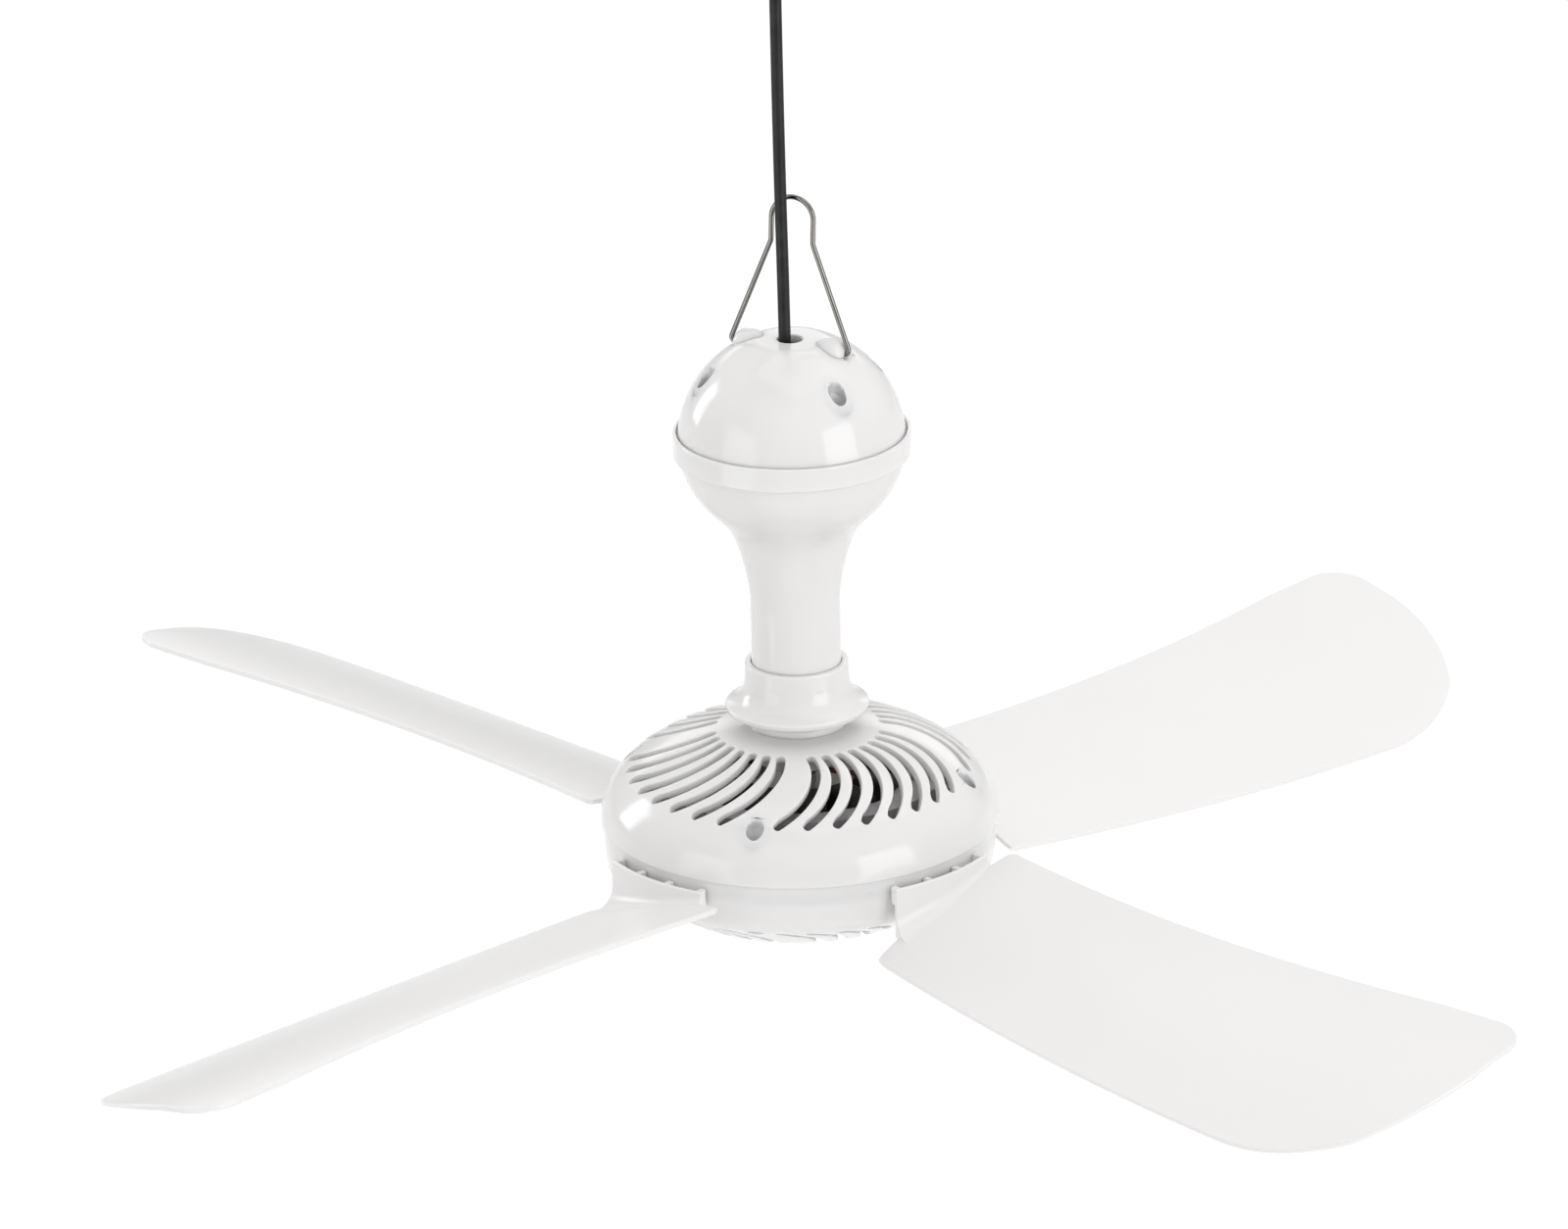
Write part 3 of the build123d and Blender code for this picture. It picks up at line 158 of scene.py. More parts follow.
CUP_SPIGOT = [(42.5, -4.8), (44.7, -4.8), (44.7, -2.1), (43.7, -2.1), (43.7, 1.0), (42.5, 1.0)]
CUP_SKIRT = [
    (36.95, -15.3), (36.95, 4.0), (35.05, 4.0), (35.05, -9.0), (33.05, -9.0), (33.05, -17.6),
]
CUP_HUB = [(7.05, -20.1), (7.05, -7.5), (5.0, -7.5), (5.0, -6.5), (9.5, -6.5), (9.5, -20.1)]
CUP_BOSS = [(1.05, -13.5), (1.05, 4.5), (2.6, 4.5), (2.6, -13.5)]

# The ball's upper half. The hinge line of the bail runs through its two ears.
HINGE_AZIMUTH = -23.5
BALL_H = 91.0
BALL_SCREWS = [polar(19.4, HINGE_AZIMUTH + turn) for turn in (-34, 34, 146, 214)]
BALL_POCKET_H = 97.0
BALL_BOSS_FOOT_H = 93.1
DOME_R = 26.2
DOME_WALL = 2.0
DOME_SEAT_H = 92.6
DOME_TOP_H = 115.8
DOME_SHOULDER_H = DOME_TOP_H - 0.25  # where the ball's round meets its flat top
DOME_INNER_H = DOME_TOP_H - DOME_WALL
DOME_STEPS = 30
DOME_SOFT = 0.2
CORD_HOLE_R = 2.8
FLAT_TOP = [  # radius, and height from the ball's top
    (8.2, -0.04), (7.6, 0), (3.0, 0), (2.86, -0.06), (CORD_HOLE_R, -0.2),
]
EAR_H = 113.3
EAR_R = 3.6
EAR_BACK = 9.3  # from the spin axis to the middle of its round back
EAR_NOSE = [  # radius round the hinge line, and distance from the spin axis
    (EAR_R, 10.6), (3.54, 11.5), (3.3, 12.2), (2.85, 12.8), (2.2, 13.3), (1.5, 13.62),
    (0.8, 13.7), (0, 13.7),
]
PIVOT_H = 113.7
PIVOT_R = 0.66
PIVOT_HOLE = (9.9, 15.9)  # its ends along the hinge line
BAIL_NOTCH_R = 15.5
BAIL_NOTCH = ((-1.8, -1.2, 112.3), (1.8, 3.6, 122))  # x from that radius, along the hinge line

# The cord's route from the terminals to the plug, from the frame's own origin
CORD_POINTS = [
    (-2.42618, -3.05, -53.24025),
    (-2.42618, -3.05, -28.24025),
    (-2.97618, -3.05, 16.75975),
    (-2.97618, -3.05, 55.75975),
]

# The stage, in metres and watts
FLOOR_SIZE = 40
SKY = ((0.06, 0.33), (0.75, 0.8), (1.0, 0.01))  # height, and how light it is
SKY_STRENGTH = 1.37
LIGHT_AIM = Vector((0, 0, -0.1))
LIGHTS = [  # name, place, width and height, power
    ("key", (-1.84, 1.11, 0.47), (0.55, 1.0), 7),
    ("left_panel", (-2.4, -1.7, -0.1), (1.8, 2.4), 21),
    ("right_panel", (2.3, -1.9, 0.2), (1.8, 2.4), 37),
    ("top_panel", (0.3, 0.3, 2.2), (2.4, 2.4), 20),
    ("backdrop", (0, 6, 1.5), (6, 4), 74),
]
LENS, SENSOR = 288.315, 36  # mm
CAMERA_RIGHT, CAMERA_UP = -3.61296, 45.42819  # mm, off the line of sight through AXIS


# Finishes

PATTERN_LOW, PATTERN_HIGH = 0.3, 0.7  # nearly all of a noise pattern lies between these
TINT_LOW, TINT_HIGH = 0.35, 0.65
BAND_SCALE = 0.314  # of a wave pattern whose bands lie one metre apart


def new_finish(name, colour, roughness, metallic=0.0):
    """A material with one shader, and its Object coordinates ready for patterns."""
    material = bpy.data.materials.new(name)
    material.use_nodes = True
    tree = material.node_tree
    shader = tree.nodes["Principled BSDF"]
    shader.inputs["Base Color"].default_value = (*colour, 1)
    shader.inputs["Roughness"].default_value = roughness
    shader.inputs["Metallic"].default_value = metallic
    coords = tree.nodes.new("ShaderNodeTexCoord")
    return material, tree, shader, coords.outputs["Object"]


def shaded(colour, share):
    return [channel * share for channel in colour]


def stretched(tree, coords, scale):
    """Object coordinates, scaled to pull a pattern out along an axis."""
    mapping = tree.nodes.new("ShaderNodeMapping")
    mapping.inputs["Scale"].default_value = scale
    tree.links.new(coords, mapping.inputs["Vector"])
    return mapping.outputs["Vector"]


def noise(tree, coords, per_metre, detail=3.0):
    texture = tree.nodes.new("ShaderNodeTexNoise")
    texture.inputs["Scale"].default_value = per_metre
    texture.inputs["Detail"].default_value = detail
    tree.links.new(coords, texture.inputs["Vector"])
    return texture.outputs["Fac"]


def level_bands(tree, coords, spacing, distortion, detail):
    """Level lines this far apart in metres."""
    wave = tree.nodes.new("ShaderNodeTexWave")
    wave.bands_direction = "Z"
    wave.inputs["Scale"].default_value = BAND_SCALE / spacing
    wave.inputs["Distortion"].default_value = distortion
    wave.inputs["Detail"].default_value = detail
    tree.links.new(coords, wave.inputs["Vector"])
    return wave.outputs["Fac"]


def spread(tree, value, socket, low, high):
    """Feeds a socket with a pattern, spread between two values."""
    ranged = tree.nodes.new("ShaderNodeMapRange")
    ranged.inputs["From Min"].default_value = PATTERN_LOW
    ranged.inputs["From Max"].default_value = PATTERN_HIGH
    ranged.inputs["To Min"].default_value = low
    ranged.inputs["To Max"].default_value = high
    tree.links.new(value, ranged.inputs["Value"])
    tree.links.new(ranged.outputs["Result"], socket)


def tint(tree, value, socket, first, second):
    """Feeds a colour socket with a pattern, between two colours."""
    ramp = tree.nodes.new("ShaderNodeValToRGB")
    stops = zip(ramp.color_ramp.elements, (TINT_LOW, TINT_HIGH), (first, second))
    for stop, position, colour in stops:
        stop.position = position
        stop.color = (*colour, 1)
    tree.links.new(value, ramp.inputs["Fac"])
    tree.links.new(ramp.outputs["Color"], socket)


def relief(tree, value, socket, depth, under=None):
    """Feeds a normal socket with bumps of this depth in metres, over another normal."""
    bump = tree.nodes.new("ShaderNodeBump")
    bump.inputs["Strength"].default_value = 1.0
    bump.inputs["Distance"].default_value = depth
    tree.links.new(value, bump.inputs["Height"])
    if under:
        tree.links.new(under, bump.inputs["Normal"])
    tree.links.new(bump.outputs["Normal"], socket)


def soft_edges(tree, radius):
    edges = tree.nodes.new("ShaderNodeBevel")
    edges.samples = 4
    edges.inputs["Radius"].default_value = radius
    return edges.outputs["Normal"]


def moulded_plastic(name, colour, roughness, grain=0.0, rounding=0.0, glow=0.0):
    """Moulded plastic with faint flow marks.

    A grain, in metres, adds uneven gloss and an orange-peel skin, and with it the rounding
    softens the edges. A glow is the share of the light that travels under the skin.
    """
    material, tree, shader, coords = new_finish(name, colour, roughness)
    flow = noise(tree, coords, per_metre=35, detail=2)
    tint(tree, flow, shader.inputs["Base Color"], colour, shaded(colour, 0.992))
    if grain:
        gloss = noise(tree, coords, per_metre=90)
        spread(tree, gloss, shader.inputs["Roughness"], roughness * 0.94, roughness * 1.08)
        skin = noise(tree, coords, per_metre=450, detail=2)
        edges = soft_edges(tree, rounding) if rounding else None
        relief(tree, skin, shader.inputs["Normal"], grain, edges)
    if glow:
        shader.inputs["Subsurface Weight"].default_value = glow
        shader.inputs["Subsurface Scale"].default_value = 2 * MM
        shader.inputs["Subsurface Radius"].default_value = (1.0, 0.95, 0.9)
    return material


def drawn_metal(name, colour, roughness, stretch=(1, 1, 1)):
    """Bright metal with the fine lines that drawing or turning leaves."""
    material, tree, shader, coords = new_finish(name, colour, roughness, metallic=1.0)
    lines = noise(tree, stretched(tree, coords, stretch), per_metre=3000, detail=2)
    spread(tree, lines, shader.inputs["Roughness"], roughness * 0.7, roughness * 1.5)
    dull = noise(tree, coords, per_metre=200)
    tint(tree, dull, shader.inputs["Base Color"], colour, shaded(colour, 0.88))
    relief(tree, lines, shader.inputs["Normal"], depth=0.004 * MM)
    return material


def laminated_steel(name, colour, sheet):
    """A stack of thin steel sheets, seen from its side as level lines."""
    material, tree, shader, coords = new_finish(name, colour, roughness=0.42, metallic=0.85)
    lines = level_bands(tree, coords, sheet, distortion=0.4, detail=1.0)
    tint(tree, lines, shader.inputs["Base Color"], shaded(colour, 0.55), colour)
    relief(tree, lines, shader.inputs["Normal"], depth=0.05 * MM)
    return material


def wound_wire(name, colour, wire):
    """Varnished winding wire: close turns with dark lines between them."""
    material, tree, shader, coords = new_finish(name, colour, roughness=0.3, metallic=0.35)
    turns = level_bands(tree, coords, wire, distortion=1.5, detail=2.0)
    tint(tree, turns, shader.inputs["Base Color"], shaded(colour, 0.35), colour)
    relief(tree, turns, shader.inputs["Normal"], depth=0.12 * MM)
    return material


def extruded_rubber(name, colour, roughness):
    """Cord sheath: drawn lines along its length and a dull shine."""
    material, tree, shader, coords = new_finish(name, colour, roughness)
    shader.inputs["Specular IOR Level"].default_value = 0.3
    lines = noise(tree, stretched(tree, coords, (1, 1, 0.03)), per_metre=2500, detail=2)
    spread(tree, lines, shader.inputs["Roughness"], roughness * 0.8, roughness * 1.3)
    dust = noise(tree, coords, per_metre=300)
    dusty = [channel * 1.7 + 0.004 for channel in colour]
    tint(tree, dust, shader.inputs["Base Color"], colour, dusty)
    relief(tree, lines, shader.inputs["Normal"], depth=0.02 * MM)
    return material


# Working in code as by hand. Pieces are shaped in millimetres round the spin axis, then settled
# in place.

SMOOTH_ANGLE = 35.0


def deselect():
    for piece in bpy.context.view_layer.objects:
        piece.select_set(False)


def pick(piece):
    """Selects one piece alone and makes it the active one."""
    deselect()
    piece.select_set(True)
    bpy.context.view_layer.objects.active = piece


def edit(piece, *select):
    """Opens one piece in edit mode with these elements selected, or none."""
    pick(piece)
    kinds = (bpy.types.MeshVertex, bpy.types.MeshEdge, bpy.types.MeshPolygon)
    chosen = [bool(select) and isinstance(select[0], kind) for kind in kinds]
    bpy.context.tool_settings.mesh_select_mode = chosen if any(chosen) else (True, False, False)
    for group in (piece.data.vertices, piece.data.edges, piece.data.polygons):
        group.foreach_set("select", [False] * len(group))
    for element in select:
        element.select = True
    bpy.ops.object.mode_set(mode="EDIT")


def close():
    bpy.ops.object.mode_set(mode="OBJECT")


def tidy(piece, outward=True, nearer=0.002):
    """Merges points nearer than this, and turns the faces outwards on a closed piece."""
    edit(piece)
    bpy.ops.mesh.select_all(action="SELECT")
    bpy.ops.mesh.remove_doubles(threshold=nearer)
    if outward:
        bpy.ops.mesh.normals_make_consistent(inside=False)
    close()


def finish(piece, kind, **settings):
    """Applies one modifier to a piece."""
    bpy.context.view_layer.objects.active = piece
    modifier = piece.modifiers.new(kind.lower(), kind)
    for name, value in settings.items():
        setattr(modifier, name, value)
    bpy.ops.object.modifier_apply(modifier=modifier.name)


def rounded(piece, width, segments=2, angle=40.0):
    """Rounds the edges that are sharper than this angle."""
    finish(piece, "BEVEL", width=width, segments=segments, limit_method="ANGLE",
           angle_limit=math.radians(angle), use_clamp_overlap=False, harden_normals=False)


def thickened(piece, thickness):
    """Gives a skin its thickness, inwards from where it is."""
    finish(piece, "SOLIDIFY", thickness=thickness, offset=-1, use_even_offset=True)


def cut(piece, cutter):
    """Cuts a piece with another, which goes."""
    finish(piece, "BOOLEAN", operation="DIFFERENCE", solver="EXACT", object=cutter)
    bpy.data.objects.remove(cutter)


def joined(name, *pieces):
    """Joins pieces into the first of them, under this name."""
    deselect()
    for piece in pieces:
        piece.select_set(True)
    whole = pieces[0]
    bpy.context.view_layer.objects.active = whole
    bpy.ops.object.join()
    whole.name = name
    return whole


def block(low, high, turn=0.0):
    """A box between two corners, turned round the spin axis."""
    deselect()
    low, high = Vector(low), Vector(high)
    bpy.ops.mesh.primitive_cube_add(size=1, location=(low + high) / 2, scale=high - low)
    bpy.ops.object.transform_apply()
    bpy.context.object.data.transform(Matrix.Rotation(math.radians(turn), 4, "Z"))
    return bpy.context.object


def rod(radius, low, high, segments, centre=(0, 0)):
    """An upright cylinder between two heights."""
    deselect()
    bpy.ops.mesh.primitive_cylinder_add(
        vertices=segments, radius=radius, depth=high - low, location=(*centre, (low + high) / 2))
    bpy.ops.object.transform_apply()
    return bpy.context.object


def turned(outline, steps, closed=True, centre=(0, 0)):
    """An outline, spun once round an upright axis."""
    mesh = bpy.data.meshes.new("turned")
    count = len(outline)
    edges = [(i, (i + 1) % count) for i in range(count if closed else count - 1)]
    mesh.from_pydata([(centre[0] + r, centre[1], h) for r, h in outline], edges, [])
    piece = bpy.data.objects.new("turned", mesh)
    bpy.context.scene.collection.objects.link(piece)
    edit(piece)
    bpy.ops.mesh.select_all(action="SELECT")
    bpy.ops.mesh.spin(steps=steps, angle=math.tau, center=(*centre, 0), axis=(0, 0, 1))
    close()
    tidy(piece)
    return piece


def sheet(columns, rows, place):
    """A grid whose points are placed by their column and row."""
    deselect()
    bpy.ops.mesh.primitive_grid_add(x_subdivisions=columns, y_subdivisions=rows, size=1)
    piece = bpy.context.object
    for point in piece.data.vertices:
        column = round((point.co.x + 0.5) * columns)
        row = round((point.co.y + 0.5) * rows)
        point.co = place(column, row)
    return piece


def settle(piece, turn=0.0):
    """Smooths a piece and moves it from the spin axis in millimetres to its place in metres."""
    pick(piece)
    bpy.ops.object.shade_smooth_by_angle(angle=math.radians(SMOOTH_ANGLE))
    finish(piece, "WEIGHTED_NORMAL", keep_sharp=True)
    turning = Matrix.Rotation(math.radians(turn), 4, "Z")
    piece.data.transform(Matrix.Translation(AXIS) @ turning @ Matrix.Scale(MM, 4))


def dress(piece, body, finish_name, node):
    """Gives a piece its finish, body and slot, and lets it stand for the frame's node."""
    piece.data.materials.clear()
    piece.data.materials.append(bpy.data.materials[finish_name])
    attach(piece, body)
    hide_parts(node)


def circle_through(start, middle, end):
    """The centre of the arc through three points in plan, and its turn."""
    skew = (end - start) / (middle - start)
    centre = start + (middle - start) * (skew - abs(skew) ** 2) / (2j * skew.imag)
    return centre, cmath.phase((end - centre) / (start - centre))


def arc(start, middle, end, count=24):
    """Points along the arc through three points in plan."""
    start, middle, end = complex(*start), complex(*middle), complex(*end)
    centre, turn = circle_through(start, middle, end)
    return [centre + (start - centre) * cmath.rect(1, turn * i / count) for i in range(count + 1)]


def edge_line(arcs, count):
    """Evenly spaced points along two arcs and the straight line that may lie between them."""
    points = [point for bend in arcs for point in arc(*bend)]
    ways = [0.0]
    for here, there in zip(points, points[1:]):
        ways.append(ways[-1] + abs(there - here))
    even = []
    for step in range(count + 1):
        way = ways[-1] * step / count
        i = max(1, next((n for n, w in enumerate(ways) if w >= way - 1e-9), len(ways) - 1))
        share = (way - ways[i - 1]) / ((ways[i] - ways[i - 1]) or 1)
        even.append(points[i - 1] + (points[i] - points[i - 1]) * share)
    return even


class FanLooks(bpy.types.PropertyGroup):
    """Colours and gloss that a user would change."""

    shell_colour: bpy.props.FloatVectorProperty(
        name="Shell", description="Colour of the ball, neck, collar and rotor shells",
        subtype="COLOR", size=3, min=0, max=1, default=(0.765, 0.755, 0.75))
    blade_colour: bpy.props.FloatVectorProperty(
        name="Blades", description="Colour of the four blades",
        subtype="COLOR", size=3, min=0, max=1, default=(0.8, 0.79, 0.785))
    cord_colour: bpy.props.FloatVectorProperty(
        name="Cord", description="Colour of the cord and its plug",
        subtype="COLOR", size=3, min=0, max=1, default=(0.007, 0.007, 0.008))
    shell_roughness: bpy.props.FloatProperty(
        name="Shell roughness", description="How dull the moulded shells are",
        subtype="FACTOR", min=0, max=1, default=0.13)
    edge_rounding: bpy.props.FloatProperty(
        name="Edge rounding", description="Radius that the moulded edges are softened by",
        subtype="DISTANCE", unit="LENGTH", min=0, max=0.002, precision=5, default=0.35 * MM)


class FanSizes(bpy.types.PropertyGroup):
    """Sizes of the shells and the blades, in metres."""

    plate: bpy.props.FloatProperty(
        name="Blade thickness", description="Thickness of a blade's plate",
        subtype="DISTANCE", unit="LENGTH", min=0.0005, max=0.004, precision=5, default=1.3 * MM)
    rim_rounding: bpy.props.FloatProperty(
        name="Blade rim", description="Rounding of a blade's rim",
        subtype="DISTANCE", unit="LENGTH", min=0.0001, max=0.0006, precision=5,
        default=0.45 * MM)
    wall: bpy.props.FloatProperty(
        name="Shell wall", description="Thickness of the rotor's shells",
        subtype="DISTANCE", unit="LENGTH", min=0.0005, max=0.004, precision=5, default=1.9 * MM)
    vent_rounding: bpy.props.FloatProperty(
        name="Vent edges", description="Rounding of the vents' edges",
        subtype="DISTANCE", unit="LENGTH", min=0.00005, max=0.0004, precision=5,
        default=0.25 * MM)


class FanCord(bpy.types.PropertyGroup):
    """Sizes of the cord."""

    thickness: bpy.props.FloatProperty(
        name="Cord diameter", description="Thickness of the cord",
        subtype="DISTANCE", unit="LENGTH", min=0.001, max=0.01, precision=4, default=2.8 * MM)
    length: bpy.props.FloatProperty(
        name="Cord length", description="Length of the cord from the terminals to the plug",
        subtype="DISTANCE", unit="LENGTH", min=0.05, max=3, precision=4, default=109.0 * MM)


class FanStage(bpy.types.PropertyGroup):
    """The floor, the lights and the camera."""

    floor_drop: bpy.props.FloatProperty(
        name="Floor drop", description="How far the floor lies under the hook",
        subtype="DISTANCE", unit="LENGTH", min=0.3, max=5, default=2.2)
    light: bpy.props.FloatProperty(
        name="Light", description="Strength of the studio lights",
        min=0, max=10, default=1.0)
    camera_distance: bpy.props.FloatProperty(
        name="Camera distance", description="From the camera to the rotor",
        subtype="DISTANCE", unit="LENGTH", min=0.5, max=10, default=2.896127)
    camera_pitch: bpy.props.FloatProperty(
        name="Camera pitch", description="How far the camera looks down",
        subtype="ANGLE", unit="ROTATION", min=-1.5, max=1.5, default=0.366612)
    camera_roll: bpy.props.FloatProperty(
        name="Camera roll", description="How far the camera leans to its side",
        subtype="ANGLE", unit="ROTATION", min=-1.5, max=1.5, default=-0.0212911)


def blade_height(y):
    """Height of a blade's upper face, y off its middle line."""
    return BLADE_H + BLADE_PITCH * y - BLADE_CAMBER * y * y


class MESH_OT_fan_blades(bpy.types.Operator):
    """Model one blade and copy it round the rotor"""

    bl_idname = "mesh.fan_blades"
    bl_label = "Blades"

    def execute(self, context):
        sizes = context.scene.fan_sizes
        pieces = [self.plate(sizes.plate / MM, sizes.rim_rounding / MM), self.root_wall()]
        low, high = (RIB_INNER_R, -RIB / 2, RIB_FOOT_H), (WALL_R + WALL / 2, RIB / 2, RIB_TOP_H)
        for angle in RIB_ANGLES:
            rib = block(low, high, angle)
            rounded(rib, RIB_SOFT)
            pieces.append(rib)
        tab = block(*TAB)
        rounded(tab, TAB_SOFT)
        first = joined("blade_one", *pieces, tab)
        blades = [first]
        for _ in BLADE_AZIMUTHS[1:]:
            pick(first)
            bpy.ops.object.duplicate(linked=False)
            blades.append(context.object)
        for number, (blade, azimuth) in enumerate(zip(blades, BLADE_AZIMUTHS), 1):
            blade.name = f"blade_{number}_moulded"
            settle(blade, azimuth)
            dress(blade, "rotor", "satin_white", f"blade_{number}")
        return {"FINISHED"}

    def plate(self, thickness, rim):
        """The cambered plate: a sheet stretched between its four edges, thickened and rounded."""
        low, high = (edge_line(edge, PLATE_ALONG) for edge in (LOW_EDGE, HIGH_EDGE))
        root, tip = (edge_line(edge, PLATE_ACROSS) for edge in (ROOT_EDGE, TIP_EDGE))
        root_low, root_high = complex(*ROOT_LOW), complex(*ROOT_HIGH)
        tip_low, tip_high = complex(*TIP_LOW), complex(*TIP_HIGH)

        def place(column, row):
            u, v = column / PLATE_ALONG, row / PLATE_ACROSS
            corners = ((1 - u) * ((1 - v) * root_low + v * root_high)
                       + u * ((1 - v) * tip_low + v * tip_high))
            point = ((1 - v) * low[column] + v * high[column]
                     + (1 - u) * root[row] + u * tip[row] - corners)
            return (point.real, point.imag, blade_height(point.imag))

        plate = sheet(PLATE_ALONG, PLATE_ACROSS, place)
        thickened(plate, thickness)
        rounded(plate, rim, segments=3, angle=60)
        return plate

    def root_wall(self):
        """The curved wall over the blade's root, with a soft corner that grows with its height."""
        columns, turns = 28, 6

        def outline(angle):
            inner_foot = blade_height(WALL_R * math.sin(angle))
            fillet = FILLET_SHARE * (WALL_TOP_H - blade_height(WALL_OUTER_R * math.sin(angle)))
            points = [
                (WALL_R, inner_foot - WALL_SUNK),
                (WALL_R, WALL_TOP_H - WALL_SOFT),
                (WALL_R + WALL_SOFT, WALL_TOP_H),
                (WALL_OUTER_R - WALL_SOFT, WALL_TOP_H),
                (WALL_OUTER_R, WALL_TOP_H - WALL_SOFT),
            ]
            for turn in range(turns + 1):
                share = math.tau / 4 * turn / turns
                radius = WALL_OUTER_R + fillet * (1 - math.cos(share))
                foot = blade_height(radius * math.sin(angle))
                points.append((radius, foot + fillet * (1 - math.sin(share)) - FILLET_SUNK))
            points.append((points[-1][0], points[-1][1] - WALL_SUNK))
            points.append(points[0])
            return points

        def place(column, row):
            angle = math.radians(WALL_HALF_ANGLE * (2 * column / columns - 1))
            radius, height = outline(angle)[row]
            return (radius * math.cos(angle), radius * math.sin(angle), height)

        wall = sheet(columns, len(outline(0)) - 1, place)
        tidy(wall, outward=False)
        ends = [edge for edge in wall.data.edges if self.at_end(wall.data, edge)]
        edit(wall, *ends)
        bpy.ops.mesh.fill_holes(sides=0)
        bpy.ops.mesh.select_all(action="SELECT")
        bpy.ops.mesh.normals_make_consistent(inside=False)
        close()
        return wall

    def at_end(self, mesh, edge):
        """Whether both points of an edge lie on an end of the wall, to a hundredth of a degree."""
        spots = [mesh.vertices[index].co for index in edge.vertices]
        angles = [abs(math.degrees(math.atan2(spot.y, spot.x))) for spot in spots]
        return all(abs(angle - WALL_HALF_ANGLE) <= 0.01 for angle in angles)


def vent_rows(outer_r, inner_r):
    """Rows across one vent: each radius, and the two azimuths between which it is open."""
    start, end = polar(outer_r, 0), polar(inner_r, VENT_SWEEP)
    run = (end - start) / abs(end - start)
    centre, turn = circle_through(start, (start + end) / 2 - run * 1j * VENT_BULGE, end)
    bend, cap = abs(start - centre), VENT_WIDTH / 2

    def outside(radius, azimuth):
        """How far a point lies outside the vent."""
        spot = polar(radius, azimuth)
        if 0 <= cmath.phase((spot - centre) / (start - centre)) / turn <= 1:
            return abs(abs(spot - centre) - bend) - cap
        return min(abs(spot - start), abs(spot - end)) - cap

    def border(radius, open_azimuth, shut_azimuth):
        """The azimuth between two others at which the vent ends, found by halving."""
        for _ in range(30):
            between = (open_azimuth + shut_azimuth) / 2
            if outside(radius, between) < 0:
                open_azimuth = between
            else:
                shut_azimuth = between
        return open_azimuth

    rounds = [cap * math.cos(math.radians(angle)) for angle in CAP_ANGLES]
    span = inner_r - outer_r
    radii = [outer_r + rise for rise in rounds]
    radii += [outer_r + span * step / VENT_STEPS for step in range(VENT_STEPS + 1)]
    radii += [inner_r - rise for rise in reversed(rounds)]
    quarters = range(-20, 100)  # of a degree, from before the vent to past it
    rows = [(outer_r + cap, 0, 0)]
    for radius in radii:
        middle = min(quarters, key=lambda quarter: outside(radius, quarter / 4)) / 4
        low, high = (border(radius, middle, middle + side * VENT_REACH) for side in (-1, 1))
        rows.append((radius, low, high))
    rows.append((inner_r - cap, VENT_SWEEP, VENT_SWEEP))
    return rows


def vented_skin(height, outside, vents, inside):
    """A turned skin whose columns follow the curved vents, with the vents left open.

    Outside and inside are the outlines beyond the vents' outer and inner tips. Each vent has
    three columns of faces: one over its opening, and two over the bar after it.
    """
    pitch = 360 / VENT_COUNT
    rows = [(radius, level, 0, 0) for radius, level in outside]
    rows += [(radius, height(radius), low, high) for radius, low, high in vents]
    rows += [(radius, level, VENT_SWEEP, VENT_SWEEP) for radius, level in inside]
    first, last = len(outside), len(outside) + len(vents) - 1

    def place(column, row):
        vent, kind = divmod(column, 3)
        radius, level, low, high = rows[row]
        azimuth = (low, high, (low + high + pitch) / 2)[kind]
        spot = polar(radius, VENT_AZIMUTH + vent * pitch + azimuth)
        return (spot.real, spot.imag, level)

    skin = sheet(3 * VENT_COUNT, len(rows) - 1, lambda column, row: (column, row, 0))
    openings = []
    for face in skin.data.polygons:
        column, row = int(face.center.x), int(face.center.y)
        screw = column // 3 % VENTS_PER_SCREW == VENTS_PER_SCREW - 1
        if column % 3 == 0 and first <= row < last and not screw:
            openings.append(face)
    for point in skin.data.vertices:
        point.co = place(round(point.co.x), round(point.co.y))
    edit(skin, *openings)
    bpy.ops.mesh.delete(type="FACE")
    close()
    tidy(skin, outward=False)
    if sum(face.normal.dot(face.center) for face in skin.data.polygons) < 0:
        edit(skin)
        bpy.ops.mesh.select_all(action="SELECT")
        bpy.ops.mesh.flip_normals()
        close()
    return skin


def pocket_cutter(place, floor):
    """A screw pocket's round cutter, from its floor up."""
    return rod(POCKET_R + POCKET_PLAY, floor, floor + POCKET_REACH, segments=40,
               centre=(place.real, place.imag))


def screw_boss(place, height, pocket_h, foot):
    """A screw boss under a skin, with its pocket's floor, cut to the skin's slope."""
    top = pocket_h + POCKET_REACH
    outline = [(POCKET_R, top), (POCKET_R, pocket_h), (SCREW_WAY_R, pocket_h),
               (SCREW_WAY_R, foot), (BOSS_R, foot), (BOSS_R, top)]
    boss = turned(outline, steps=40, centre=(place.real, place.imag))
    radius = abs(place)
    slope = height(radius + 0.5) - height(radius - 0.5)  # over a millimetre
    outward = place / radius
    edit(boss)
    bpy.ops.mesh.select_all(action="SELECT")
    bpy.ops.mesh.bisect(plane_co=(place.real, place.imag, height(radius) - BOSS_DROP),
                        plane_no=(-slope * outward.real, -slope * outward.imag, 1),
                        use_fill=False, clear_outer=True)
    bpy.ops.mesh.select_all(action="DESELECT")
    bpy.ops.mesh.select_non_manifold()
    bpy.ops.mesh.bridge_edge_loops()
    close()
    return boss


def cover_height(r):
    """Height of the top cover's outside at a radius."""
    return COVER_RISE * math.sqrt(max(0.0, 1 - (r / COVER_R) ** 2))


